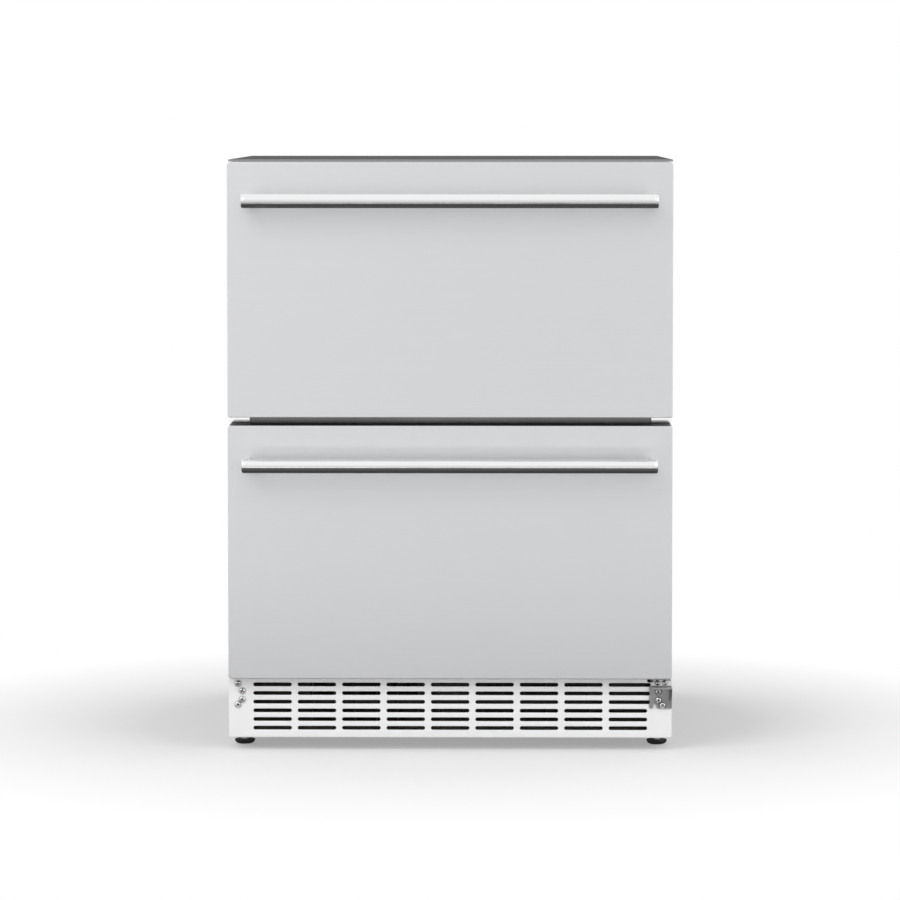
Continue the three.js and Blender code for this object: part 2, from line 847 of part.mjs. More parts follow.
// Moulded cover over the evaporator, with a guarded fan outlet and return slots below.
function evaporatorCover() {
  const z = [coverBottomZ, coverTopZ];
  const shell = block(symmetric(coverHalf), [coverY, compartmentBackY - fit], z);
  const hollow = block(
    symmetric(coverHalf - coverWall),
    [coverY + coverWall, compartmentBackY],
    [z[0] + coverWall, z[1] - coverWall],
  );
  const cutY = [coverY - coverWall, coverY + 2 * coverWall];
  const outlet = rod("y", evaporatorFanRadius + fanTipGap, ...cutY);
  const cuts = [outlet.translate(0, 0, evaporatorFanZ)];
  for (let index = 0; index < returnSlots; index++) {
    const x = (index - (returnSlots - 1) / 2) * (returnSlotWidth + 2 * returnSlotHeight);
    const bottom = z[0] + 2 * returnSlotHeight;
    cuts.push(
      block(
        [x - returnSlotWidth / 2, x + returnSlotWidth / 2],
        cutY,
        [bottom, bottom + returnSlotHeight],
      ),
    );
  }
  const ductStart = coverY - evaporatorFanY;
  const mount = fanMount(evaporatorFanRadius, evaporatorFanChord, evaporatorMotorRadius, ductStart);
  const holeRadius = evaporatorFanRadius + fanTipGap;
  const guard = [-1, 0, 1].map((place) => {
    const offset = (place * holeRadius) / 2;
    const reach = Math.sqrt(holeRadius ** 2 - offset ** 2) + ductWall / 2;
    const rise = evaporatorFanZ + offset - coverWall / 2;
    return block(symmetric(reach), [coverY, coverY + coverWall], [rise, rise + coverWall]);
  });
  return join([
    cut(shell.subtract(hollow), cuts),
    mount.translate(0, evaporatorFanY, evaporatorFanZ),
    ...guard,
  ]);
}

// ---------------------------------------------------------------- controls

function buttonOutline(grow) {
  return roundedRectangle(
    symmetric(buttonHeight / 2 + grow),
    symmetric(buttonWidth / 2 + grow),
    buttonCorner,
  );
}

// Housing under the ceiling, with a blind pocket for each button in its front.
function controlHousing() {
  const pocketEnd = housingFrontY + buttonLength - buttonProud + buttonSpring;
  const housing = block(
    symmetric(housingWidth / 2),
    [housingFrontY, housingFrontY + housingDepth],
    [housingBottomZ, housingBottomZ + housingHeight],
  );
  const pockets = Object.values(buttonPlaces).map((x) =>
    plate(buttonOutline(fit), housingFrontY - sheet, pocketEnd).translate(
      x,
      0,
      housingBottomZ + housingHeight / 2,
    ),
  );
  return cut(housing, pockets);
}

function pushButton() {
  return plate(buttonOutline(0), 0, buttonLength);
}

function ledLamp() {
  const lens = roundedRectangle(symmetric(lampDepth / 2), symmetric(lampHeight), lampDepth / 4);
  const strip = prism("x", lens, -lampWidth / 2, lampWidth / 2);
  return strip.intersect(block(symmetric(lampWidth), symmetric(lampDepth), [-lampHeight, 0]));
}

// Recessed three-pin inlet, its flange against the rear cover. Its middle height is zero.
function powerInlet() {
  const [flangeWidthX, flangeHeight] = inletFlange;
  const [bodyWidth, bodyHeight] = inletBody;
  const [cavityWidth, cavityHeight] = inletCavity;
  const [pinWidth, pinHeight, pinLength] = inletPin;
  const flangeY = [backY - rearInset + fit, backY];
  const flange = block(symmetric(flangeWidthX / 2), flangeY, symmetric(flangeHeight / 2));
  const body = block(
    symmetric(bodyWidth / 2),
    [backY - inletBodyDepth, backY],
    symmetric(bodyHeight / 2),
  );
  const cavityFloor = backY - inletCavityDepth;
  const cavity = block(
    symmetric(cavityWidth / 2),
    [cavityFloor, backY + sheet],
    symmetric(cavityHeight / 2),
  );
  const pins = [-1, 0, 1].map((place) => {
    const x = place * inletPinSpacing;
    const z = (place === 0 ? 1 : -1) * inletPinStagger;
    return block(
      [x - pinWidth / 2, x + pinWidth / 2],
      [cavityFloor - pinWidth, cavityFloor + pinLength],
      [z - pinHeight / 2, z + pinHeight / 2],
    );
  });
  return join([flange.add(body).subtract(cavity), ...pins]);
}

// ---------------------------------------------------------------- drawers

// Stainless tray that wraps the edges of a drawer front. Heights here start at the front's bottom.
function frontSkin() {
  const half = halfWidth - sideReveal;
  const outer = roundedRectangle([0, frontHeight], symmetric(half), frontCorner);
  const inner = roundedRectangle(
    [skinThickness, frontHeight - skinThickness],
    symmetric(half - skinThickness),
    frontCorner - skinThickness,
  );
  const tray = plate(outer, frontFaceY, frontFaceY + skinThickness + skinLip);
  return tray.subtract(plate(inner, frontFaceY + skinThickness, frontBackY));
}

// Moulded body of a drawer front, with the plug that enters the opening.
function frontBody(opening) {
  const half = halfWidth - sideReveal;
  const inset = skinThickness + fit;
  const nose = roundedRectangle(
    [inset, frontHeight - inset],
    symmetric(half - inset),
    frontCorner - skinThickness,
  );
  const slab = roundedRectangle([0, frontHeight], symmetric(half), frontCorner);
  const lipEnd = frontFaceY + skinThickness + skinLip;
  const plug = roundedRectangle(
    [opening.bottom + plugClearance, opening.top - plugClearance],
    symmetric(innerHalf - plugClearance),
    frontCorner,
  );
  return join([
    plate(nose, frontFaceY + inset, frontBackY),
    plate(slab, lipEnd + fit, frontBackY),
    plate(plug, frontBackY - sheet, plugBackY),
  ]);
}

// Magnetic gasket: a base and a head joined by a narrower bellows.
function doorGasket() {
  const band = (narrow, y0, y1) =>
    ring(
      roundedRectangle(
        [gasketInset + narrow, frontHeight - gasketInset - narrow],
        symmetric(halfWidth - sideReveal - gasketSideInset - narrow),
        gasketWidth / 2,
      ),
      roundedRectangle(
        [gasketInset + gasketWidth - narrow, frontHeight - gasketInset - gasketWidth + narrow],
        symmetric(halfWidth - sideReveal - gasketSideInset - gasketWidth + narrow),
        gasketNeck,
      ),
      y0,
      y1,
    );
  const start = frontBackY + fit;
  const end = faceY - fit;
  return join([
    band(0, start, start + gasketBase),
    band(gasketNeck, start + gasketBase / 2, end - gasketHead / 2),
    band(0, end - gasketHead, end),
  ]);
}

// Distance from the front face to the bar's axis.
const handleStandoff = handleProjection - handleRadius;

function handleBar() {
  const end = handleLength / 2;
  const nose = [0, 1 / 3, 2 / 3, 1].map((step) => {
    const angle = (step * Math.PI) / 2;
    return [
      handleRadius - handleEndRounding * (1 - Math.sin(angle)),
      end - handleEndRounding * (1 - Math.cos(angle)),
    ];
  });
  const rightEnd = nose.slice().reverse();
  const leftEnd = nose.map(([radius, x]) => [radius, -x]);
  return turned("x", [[0, -end], ...leftEnd, ...rightEnd, [0, end]]);
}

// Post between the front and the bar, saddled to the bar's round back.
function handlePost() {
  const foot = rod("y", postFootRadius, -fit - postFootHeight, -fit, smallSides);
  const stem = rod("y", postRadius, -handleStandoff, -fit, smallSides);
  const bar = rod("x", handleRadius + fit, -postFootRadius, postFootRadius);
  return join([foot, stem]).subtract(bar.translate(0, -handleStandoff, 0));
}

// Deep bin with a flat floor.
function upperBinOutline(inset, bin) {
  return polygon([
    [drawerInnerY + inset, bin.bottom + inset],
    [drawerInnerY + binDepth - inset, bin.bottom + inset],
    [drawerInnerY + binDepth - inset, bin.top],
    [drawerInnerY + inset, bin.top],
  ]);
}

// Bin that steps up over the machine compartment.
function lowerBinOutline(inset, bin) {
  const deepEnd = stepY - binClearance - inset;
  const shelf = stepZ + binClearance - lowerFrontZ + inset;
  return polygon([
    [drawerInnerY + inset, bin.bottom + inset],
    [deepEnd, bin.bottom + inset],
    [deepEnd, shelf],
    [drawerInnerY + binDepth - inset, shelf],
    [drawerInnerY + binDepth - inset, bin.top],
    [drawerInnerY + inset, bin.top],
  ]);
}

function drawerBin(outline, bin) {
  const shell = prism("x", outline(0, bin), -binHalf, binHalf);
  const inside = binHalf - binWall;
  const rim = block(
    symmetric(binHalf + binSideRim),
    [drawerInnerY, drawerInnerY + binDepth],
    [bin.top - binWall, bin.top],
  );
  const space = prism("x", outline(binWall, { bottom: bin.bottom, top: topZ }), -inside, inside);
  return shell.add(rim).subtract(space);
}

// Slide members are C sections, nested in one another. Each starts at depth from the liner wall.
function slideSection(webStart, webEnd, lipEnd, height) {
  const top = height / 2;
  const [near, far] = webStart < lipEnd ? [webEnd, lipEnd] : [webStart, lipEnd];
  const back = webStart < lipEnd ? webStart : webEnd;
  return polygon([
    [-top, back],
    [-top, far],
    [-top + slideSteel, far],
    [-top + slideSteel, near],
    [top - slideSteel, near],
    [top - slideSteel, far],
    [top, far],
    [top, back],
  ]);
}

function slideMembers() {
  const step = slideSteel + slideGap;
  const outerWeb = fit;
  const midWeb = outerWeb + step;
  const innerWeb = slideWidth - fit;
  const innerLip = midWeb + step;
  return {
    outer: slideSection(outerWeb, outerWeb + slideSteel, outerWeb + slideLipDepth, slideHeight),
    mid: slideSection(midWeb, midWeb + slideSteel, midWeb + slideLipDepth, slideHeight - 2 * step),
    inner: slideSection(innerWeb - slideSteel, innerWeb, innerLip, slideHeight - 4 * step),
  };
}

// Places a section drawn from the liner wall on the left or the right side.
function slideMember(section, side) {
  const member = plate(section, drawerInnerY, drawerInnerY + slideLength);
  const placed = side < 0 ? member : member.mirror([1, 0, 0]);
  return placed.translate(side * innerHalf, 0, 0);
}

function addDrawer(root, name, frontZ, opening, outline, bin) {
  const drawer = new THREE.Group();
  drawer.position.z = frontZ;
  root.add(drawer);
  addPiece(drawer, `${name}_front_skin`, frontSkin(), finishes.stainless);
  addPiece(drawer, `${name}_front_body`, frontBody(opening), finishes.blackPlastic);
  addPiece(drawer, `${name}_gasket`, doorGasket(), finishes.rubber);
  addPiece(drawer, `${name}_bin`, drawerBin(outline, bin), finishes.binPlastic);

  const handle = new THREE.Group();
  handle.position.set(0, frontFaceY, frontHeight - handleDrop);
  drawer.add(handle);
  const bar = addPiece(handle, `${name}_handle_bar`, handleBar(), finishes.handleSteel);
  bar.position.y = -handleStandoff;
  const slides = new THREE.Group();
  slides.position.z = bin.slideZ;
  drawer.add(slides);
  for (const [sideName, side] of [["left", -1], ["right", 1]]) {
    const post = addPiece(handle, `${name}_handle_post_${sideName}`, handlePost(), finishes.handleSteel);
    post.position.x = side * (handleLength / 2 - postInset);
    for (const [member, section] of Object.entries(slideMembers())) {
      const solid = slideMember(section, side);
      addPiece(slides, `${name}_slide_${member}_${sideName}`, solid, finishes.galvanised);
    }
  }
}

// ---------------------------------------------------------------- assembly

const refrigerator = new THREE.Group();

addPiece(refrigerator, "cabinet_wrapper", cabinetWrapper(), finishes.stainless);
addPiece(refrigerator, "rear_panel", rearPanel(), finishes.galvanised);
addPiece(refrigerator, "rear_machine_cover", rearMachineCover(), finishes.galvanised);
addPiece(refrigerator, "base_pan", basePan(), finishes.galvanised);
addPiece(refrigerator, "insulation_foam", insulationFoam(), finishes.foam);
addPiece(refrigerator, "inner_liner", innerLiner(), finishes.greyPlastic);
addPiece(refrigerator, "mullion_rail", mullionRail(), finishes.glossBlack);
addPiece(refrigerator, "toe_grille", toeGrille(), finishes.stainless);
addPiece(refrigerator, "hinge_bracket", hingeBracket(), finishes.galvanised);

bracketHoles.forEach((hole, index) => {
  const [x, z] = bracketPoint(index, -1);
  const solid = crossScrew(toeFaceY - fit, toeFaceY + screwLength - fit);
  const screw = addPiece(refrigerator, `hinge_hole_screw_${index + 1}`, solid, finishes.screwSteel);
  screw.position.set(x, 0, z);
});

for (const index of [1, 2, 3]) {
  const [x, z] = bracketPoint(index, 1);
  const seat = toeFaceY - 2 * fit - bracketThickness;
  const solid = crossScrew(seat, toeFaceY + screwLength - fit);
  const screw = addPiece(refrigerator, `bracket_screw_${index}`, solid, finishes.screwSteel);
  screw.position.set(x, 0, z);
}

for (const [place, [x, y]] of Object.entries(footPlaces)) {
  const foot = addPiece(refrigerator, `foot_${place}`, levellingFoot(), finishes.rubber);
  foot.position.set(x, y, 0);
}

const machinery = new THREE.Group();
refrigerator.add(machinery);
const motor = new THREE.Group();
motor.position.set(compressorX, machineMidY, 0);
machinery.add(motor);
addPiece(motor, "compressor", compressor(), finishes.blackPaint);
addPiece(motor, "drain_pan", drainPan(), finishes.blackPlastic);

const coil = addPiece(machinery, "condenser", condenser(), finishes.blackPaint);
coil.position.set(0, faceY + condenserSetback, floorZ);

const condenserFan = new THREE.Group();
const condenserFanY = shroudY + bladeSweep(condenserFanChord) / 2 + fanTipGap / 2;
condenserFan.position.set(condenserFanX, condenserFanY, condenserFanZ);
machinery.add(condenserFan);
addPiece(condenserFan, "condenser_fan_shroud", condenserFanShroud(), finishes.blackPlastic);
addPiece(
  condenserFan,
  "condenser_fan_blades",
  fanWheel(
    condenserFanRadius,
    condenserHubRadius,
    condenserFanBlades,
    condenserFanChord,
    spokeStart(condenserFanChord) + condenserMotorRadius / 2,
  ),
  finishes.greyPlastic,
);

const coldCoil = addPiece(refrigerator, "evaporator", evaporator(), finishes.coil);
coldCoil.position.set(0, compartmentBackY - fit - evaporatorDepth, stepZ + evaporatorLift);
addPiece(refrigerator, "evaporator_cover", evaporatorCover(), finishes.greyPlastic);
const coldFan = addPiece(
  refrigerator,
  "evaporator_fan_blades",
  fanWheel(
    evaporatorFanRadius,
    evaporatorHubRadius,
    evaporatorFanBlades,
    evaporatorFanChord,
    spokeStart(evaporatorFanChord) + evaporatorMotorRadius / 2,
  ),
  finishes.blackPlastic,
);
coldFan.position.set(0, evaporatorFanY, evaporatorFanZ);

addPiece(refrigerator, "control_housing", controlHousing(), finishes.glossBlack);
for (const [use, x] of Object.entries(buttonPlaces)) {
  const button = addPiece(refrigerator, `button_${use}`, pushButton(), finishes.greyPlastic);
  button.position.set(x, housingFrontY - buttonProud, housingBottomZ + housingHeight / 2);
}
const lamp = addPiece(refrigerator, "led_lamp", ledLamp(), finishes.lens);
lamp.position.set(
  0,
  housingFrontY + housingDepth + lampGap + lampDepth / 2,
  compartmentTopZ - fit,
);

const inlet = addPiece(refrigerator, "power_inlet", powerInlet(), finishes.blackPlastic);
inlet.position.set(inletX, 0, baseZ + inletHeight);

const upperOpening = {
  bottom: mullionTopZ - upperFrontZ,
  top: compartmentTopZ - upperFrontZ,
};
const lowerOpening = {
  bottom: compartmentFloorZ - lowerFrontZ,
  top: mullionBottomZ - lowerFrontZ,
};
const upperBinTop = housingBottomZ - upperBinTopClearance - upperFrontZ;
const upperBin = {
  bottom: upperOpening.bottom + upperBinLift,
  top: upperBinTop,
  slideZ: upperBinTop - slideDrop,
};
const lowerBin = {
  bottom: lowerOpening.bottom + binClearance,
  top: lowerOpening.top - binTopClearance,
  slideZ: stepZ + slideStepGap + slideHeight / 2 - lowerFrontZ,
};
addDrawer(refrigerator, "upper", upperFrontZ, upperOpening, upperBinOutline, upperBin);
addDrawer(refrigerator, "lower", lowerFrontZ, lowerOpening, lowerBinOutline, lowerBin);

export default refrigerator;
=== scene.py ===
# Undercounter drawer refrigerator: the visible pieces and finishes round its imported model, in metres.
import math
import bmesh
import bpy
from bpy.props import FloatProperty, FloatVectorProperty, IntProperty, PointerProperty
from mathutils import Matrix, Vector
from mathutils.bvhtree import BVHTree


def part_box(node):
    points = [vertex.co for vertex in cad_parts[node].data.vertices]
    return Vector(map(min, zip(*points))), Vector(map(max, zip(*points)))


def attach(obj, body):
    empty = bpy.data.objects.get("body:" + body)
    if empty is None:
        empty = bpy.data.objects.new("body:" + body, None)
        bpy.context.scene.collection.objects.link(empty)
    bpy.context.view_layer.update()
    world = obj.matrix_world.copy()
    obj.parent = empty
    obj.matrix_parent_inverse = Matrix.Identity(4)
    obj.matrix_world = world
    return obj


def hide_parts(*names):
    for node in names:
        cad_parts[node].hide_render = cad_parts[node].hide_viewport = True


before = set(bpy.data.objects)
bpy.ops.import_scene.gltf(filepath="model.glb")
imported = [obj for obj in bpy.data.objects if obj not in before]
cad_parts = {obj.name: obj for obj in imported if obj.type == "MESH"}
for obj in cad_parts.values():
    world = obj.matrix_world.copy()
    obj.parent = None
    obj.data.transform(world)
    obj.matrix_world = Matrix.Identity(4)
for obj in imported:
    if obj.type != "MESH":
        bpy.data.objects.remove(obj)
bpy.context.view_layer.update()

bl_info = {
    "name": "Drawer Refrigerator",
    "version": (1, 0, 0),
    "blender": (4, 5, 0),
    "location": "3D View > Sidebar > Refrigerator",
    "description": "Builds the visible pieces and finishes of an undercounter drawer refrigerator",
    "category": "Object",
}


# ---------------------------------------------------------------- settings


def number(name, description, default, **limits):
    return FloatProperty(name=name, description=description, default=default, **limits)


def length(name, description, default):
    return number(name, description, default, min=0.0, precision=5, unit="LENGTH", subtype="DISTANCE")


def share(name, description, default):
    return number(name, description, default, min=0.0, max=1.0, subtype="FACTOR")


def power(name, description, default):
    return number(name, description, default, min=0.0, unit="POWER")


def count(name, description, default):
    return IntProperty(name=name, description=description, default=default, min=1)


def colour(name, description, default):
    looks = {"size": 3, "min": 0.0, "max": 1.0, "subtype": "COLOR"}
    return FloatVectorProperty(name=name, description=description, default=default, **looks)


class FinishColours(bpy.types.PropertyGroup):
    """Base colours of the finishes."""

    stainless: colour("Stainless", "Satin sheet of the fronts", (0.683, 0.689, 0.7))
    grille: colour("Grille steel", "Bright blasted sheet of the toe grille", (0.96, 0.962, 0.965))
    flange: colour("Flange steel", "Bare bright flanges beside the drawer openings", (0.95, 0.95, 0.95))
    handle: colour("Handle steel", "Polished handle bars and posts", (0.88, 0.885, 0.89))
    coat: colour("Cabinet coat", "Textured black coat of the cabinet", (0.018, 0.018, 0.019))
    galvanised: colour("Galvanised", "Zinc-coated sheet of the back and base", (0.5, 0.52, 0.53))
    bracket: colour("Bracket steel", "Plated hinge bracket", (0.33, 0.332, 0.335))
    mullion: colour("Mullion", "Dark buffed rail between the drawers", (0.2, 0.2, 0.205))
    slide: colour("Slide steel", "Zinc-plated telescopic slides", (0.62, 0.63, 0.64))
    screw: colour("Screw steel", "Bright screws", (0.8, 0.8, 0.81))
    gloss_black: colour("Gloss black", "Control housing", (0.02, 0.02, 0.021))
    black_plastic: colour("Black plastic", "Front bodies and small mouldings", (0.04, 0.04, 0.042))
    grey_plastic: colour("Grey plastic", "Evaporator cover and condenser fan", (0.27, 0.28, 0.29))
    button: colour("Button", "Push buttons", (0.42, 0.43, 0.44))
    mark: colour("Button marks", "Printed marks on the buttons", (0.85, 0.86, 0.87))
    liner: colour("Liner", "Moulded inner liner", (0.2, 0.21, 0.22))
    bin: colour("Bin", "Drawer bins", (0.52, 0.54, 0.56))
    gasket: colour("Gasket", "Magnetic gaskets", (0.016, 0.016, 0.016))
    rubber: colour("Foot rubber", "Levelling feet", (0.02, 0.02, 0.02))
    paint: colour("Machine paint", "Compressor and condenser", (0.016, 0.016, 0.018))
    coil: colour("Coil metal", "Evaporator fins and tubes", (0.66, 0.67, 0.68))
    foam: colour("Foam", "Insulation foam", (0.78, 0.66, 0.38))
    lens: colour("Lamp lens", "Cover of the lamp", (0.88, 0.89, 0.9))


class EdgeSizes(bpy.types.PropertyGroup):
    """How far edges are rounded."""

    sheet: length("Sheet edge", "Rounding of thin sheet-metal edges", 0.0004)
    moulding: length("Moulding edge", "Rounding of moulded edges", 0.0009)
    fold: length("Fold radius", "Outer radius where a stainless skin is folded back", 0.001)


class FrontSizes(bpy.types.PropertyGroup):
    """Stainless skins and gaskets of the drawer fronts."""

    corner: length("Corner radius", "Radius of a front's four corners", 0.003)
    skin: length("Skin thickness", "Thickness of the stainless skin", 0.0012)
    corner_steps: count("Corner steps", "Facets in each round corner", 8)


class HandleSizes(bpy.types.PropertyGroup):
    """Handle bars and their posts."""

    sides: count("Bar sides", "Facets round the bar", 72)
    end_radius: length("End rounding", "Rounding of the bar's ends", 0.0025)
    seam: length("Cap seam", "Depth of the seam of the bar's end caps", 0.00015)
    cap: length("Cap length", "Distance of the cap's seam from the bar's end", 0.004)
    stem: length("Post radius", "Radius of a post's stem", 0.006)
    foot_height: length("Post foot", "Height of the flange at the foot of a post", 0.002)
    grub_screw: length("Grub screw", "Radius of the fixing screw under a post", 0.0015)


class GrilleSizes(bpy.types.PropertyGroup):
    """Toe grille."""

    columns: count("Columns", "Slots in a row", 9)
    rows: count("Rows", "Rows of slots", 6)
    slot_length: length("Slot length", "Length of a slot", 0.052)
    slot_height: length("Slot height", "Height of a slot", 0.005)
    pitch_x: length("Column pitch", "Distance between columns", 0.0601)
    pitch_z: length("Row pitch", "Distance between rows", 0.01183)
    top_drop: length("Top row", "Lower front's bottom to the middle of the top row", 0.0107)
    sheet: length("Sheet thickness", "Thickness of the grille's sheet", 0.0015)
    window_x: length("Window place", "Middle of the small window beside the hinge screws", 0.2705)
    window_z: length("Window height", "Height of that window's middle", 0.0961)
    rim: length("Slot rim", "Width of the rolled rim round a slot", 0.0007)
    slot_steps: count("Slot steps", "Facets in each round corner of a slot", 6)
    behind_bracket: length("Longer slots", "How much longer the slots beside the bracket are", 0.0048)


class FootSizes(bpy.types.PropertyGroup):
    """Levelling feet."""

    pad_height: length("Pad height", "Height of the rubber pad", 0.0064)
    ribs: count("Ribs", "Upright ribs round the pad", 40)
    rib_depth: length("Rib depth", "Depth of the grooves between the ribs", 0.0008)
    thread_pitch: length("Thread pitch", "Rise of the stem's thread in one turn", 0.0015)
    thread_depth: length("Thread depth", "Depth of the stem's thread", 0.0006)
    stem: length("Stem radius", "Radius of the threaded stem", 0.004)
    nut: length("Nut radius", "Radius of the hexagon nut, to its corners", 0.0054)


class SlideSizes(bpy.types.PropertyGroup):
    """Telescopic slides."""

    sheet: length("Slide sheet", "Thickness of a slide's rolled sheet", 0.0012)
    roll: length("Roll radius", "Outer radius of a slide's rolled edges", 0.003)


class StageSettings(bpy.types.PropertyGroup):
    """Camera, floor and light."""

    camera_distance: length("Camera distance", "Camera to the drawer fronts", 5.5)
    camera_side: length("Camera side", "Camera to the right of the middle", 0.06)
    camera_height: length("Camera height", "Camera above the floor", 0.8559)
    lens: number("Lens", "Focal length on a 36 mm sensor", 164.49, min=1.0, unit="CAMERA")
    pitch: number(
        "Pitch", "Tilt below the horizontal", math.radians(4.003), subtype="ANGLE", unit="ROTATION"
    )
    shift: number("Shift", "Upright lens shift", -0.05)
    floor_radius: length("Floor radius", "Half the floor's width", 30.0)
    fade_start: length("Fade start", "Distance at which the floor begins to turn white", 0.42)
    fade_end: length("Fade end", "Distance from which the floor is plain white", 0.85)
    shadow_lift: share("Shadow lift", "How far the shadow is lightened", 0.3)
    floor: share("Floor level", "Pale floor's colour", 0.93)
    bounce: share("Bounce level", "Floor's colour for the light that it bounces", 0.75)
    card: share("Card level", "Brightness of the card that the metal mirrors", 0.2)
    card_edge: share("Card edge level", "Brightness of that card at its edge", 0.95)
    card_radius: length("Card radius", "Reach of that card", 3.0)
    world: share("World level", "Light of the surroundings on the object", 0.62)
    key: power("Key lamp", "Power of the key lamp", 58.0)
    fill: power("Fill lamp", "Power of the fill lamp", 26.0)
    low: power("Low lamp", "Power of the low front lamp", 1.6)


class RefrigeratorSettings(bpy.types.PropertyGroup):
    """All sizes and colours of the dressed refrigerator."""

    colours: PointerProperty(type=FinishColours)
    edges: PointerProperty(type=EdgeSizes)
    fronts: PointerProperty(type=FrontSizes)
    handles: PointerProperty(type=HandleSizes)
    grille: PointerProperty(type=GrilleSizes)
    feet: PointerProperty(type=FootSizes)
    slides: PointerProperty(type=SlideSizes)
    stage: PointerProperty(type=StageSettings)


def settings():
    return bpy.context.scene.drawer_refrigerator


# ---------------------------------------------------------------- shader nodes

FINISHED = "_finish"  # keeps the finishes apart from the frame's plain materials of the same names
DUST = (0.4, 0.39, 0.37, 1.0)


def shade(base, factor):
    """The colour made lighter or darker by a factor, with an alpha."""
    return tuple(min(1.0, part * factor) for part in base) + (1.0,)


class Nodes:
    """Short calls for the nodes of one tree. Values are numbers, colours or other nodes' sockets."""

    def __init__(self, tree):
        self.tree = tree

    def fill(self, socket, value):
        if isinstance(value, bpy.types.NodeSocket):
            self.tree.links.new(value, socket)
        else:
            socket.default_value = value

    def add(self, kind, values=None, **options):
        made = self.tree.nodes.new("ShaderNode" + kind)
        made.location = (220 * len(self.tree.nodes), 0)
        for option, value in options.items():
            setattr(made, option, value)
        for socket, value in (values or {}).items():
            self.fill(made.inputs[socket], value)
        return made.outputs

    def maths(self, operation, first, second, clamp=False):
        return self.add("Math", {0: first, 1: second}, operation=operation, use_clamp=clamp)[0]

    def spread(self, value, low, high, to_low=0.0, to_high=1.0):
        """Maps a value from one range to another, and holds it inside."""
        sockets = ("Value", "From Min", "From Max", "To Min", "To Max")
        return self.add("MapRange", dict(zip(sockets, (value, low, high, to_low, to_high))))["Result"]

    def mix(self, factor, first, second):
        return self.add("Mix", {0: factor, 6: first, 7: second}, data_type="RGBA")[2]

    def noise(self, vector, scale, detail=2.0, roughness=0.5):
        values = {"Vector": vector, "Scale": scale, "Detail": detail, "Roughness": roughness}
        return self.add("TexNoise", values)["Fac"]

    def place(self):
        return self.add("TexCoord")["Object"]

    def up(self):
        """How far the surface looks up."""
        return self.add("SeparateXYZ", {0: self.add("NewGeometry")["Normal"]})["Z"]

    def group(self, name, **values):
        values = {socket.replace("_", " "): value for socket, value in values.items()}
        return self.add("Group", values, node_tree=group_named(name))


def brushed_lines(nodes, source):
    """Fine parallel lines, long along one axis, and wide soft bands across them."""
    stretch = {0: nodes.place(), 1: source["Line scale"]}
    across = nodes.add("VectorMath", stretch, operation="MULTIPLY")[0]
    wide = nodes.add("VectorMath", {0: across, "Scale": 0.03}, operation="SCALE")[0]
    fine = nodes.noise(across, 1.0, 3.0, 0.7)
    return {"Lines": nodes.spread(fine, 0.3, 0.7), "Bands": nodes.noise(wide, 1.0, 1.0)}


def edge_wear(nodes, source):
    """Mask of the worn band along outer edges, broken up by noise."""
    soft = nodes.add("Bevel", {"Radius": source["Radius"]}, samples=4)[0]
    true = nodes.add("NewGeometry")["Normal"]
    alike = nodes.add("VectorMath", {0: soft, 1: true}, operation="DOT_PRODUCT")["Value"]
    broken = nodes.spread(nodes.noise(nodes.place(), 180.0, 4.0, 0.6), 0.35, 0.65, 0.35, 1.0)
    worn = nodes.maths("MULTIPLY", nodes.spread(alike, 0.985, 0.9), broken)
    return {"Mask": nodes.maths("MULTIPLY", worn, source["Amount"], True)}


def handling_marks(nodes, source):
    """Soft clouds and faint wipe marks, as cleaning and hands leave on a smooth surface."""
    place, scale = nodes.place(), source["Scale"]
    slant = {"Vector": place, "Rotation": (0.3, 0.5, 0.2), "Scale": (3, 3, 40)}
    wipes = nodes.noise(nodes.add("Mapping", slant)[0], scale, 3.0)
    clouds = nodes.noise(place, scale, 4.0, 0.6)
    return {"Clouds": nodes.spread(clouds, 0.3, 0.7), "Wipes": nodes.spread(wipes, 0.52, 0.75)}


def moulded_grain(nodes, source):
    """Fine leathery grain of a moulded or coated surface."""
    place, scale = nodes.place(), source["Scale"]
    cells = nodes.add("TexVoronoi", {"Vector": place, "Scale": scale})["Distance"]
    soft = nodes.noise(place, scale)
    height = nodes.maths("ADD", nodes.maths("MULTIPLY", cells, 0.6), soft)
    return {"Height": height, "Speckle": nodes.spread(soft, 0.58, 0.72)}


def settled_dust(nodes, source):
    """Dust that settles where a surface looks up."""
    specks = nodes.spread(nodes.noise(nodes.place(), 260.0, 5.0, 0.7), 0.4, 0.8)
    lying = nodes.maths("MULTIPLY", nodes.spread(nodes.up(), 0.3, 1.0), specks)
    return {"Mask": nodes.maths("MULTIPLY", lying, source["Amount"], True)}


def painted_crevice_shade(nodes, source):
    """Mask of corners and crevices that ambient occlusion finds, where shade is painted."""
    openness = nodes.add("AmbientOcclusion", {"Distance": source["Reach"]}, samples=6)["AO"]
    return {"Mask": nodes.spread(openness, 0.95, 0.4)}


def underside(nodes, source):
    """Mask of the surfaces that look down, where shade is painted."""
    down = nodes.spread(nodes.up(), 0.3, -0.9)
    return {"Mask": nodes.maths("MULTIPLY", down, source["Amount"], True)}


GROUPS = {
    "Brushed lines": (brushed_lines, {"Line scale": (12.0, 900.0, 2200.0)}),
    "Edge wear": (edge_wear, {"Radius": 0.0015, "Amount": 1.0}),
    "Handling marks": (handling_marks, {"Scale": 6.0}),
    "Moulded grain": (moulded_grain, {"Scale": 900.0}),
    "Settled dust": (settled_dust, {"Amount": 0.3}),
    "Crevice dirt": (painted_crevice_shade, {"Reach": 0.003}),
    "Underside": (underside, {"Amount": 1.0}),
}


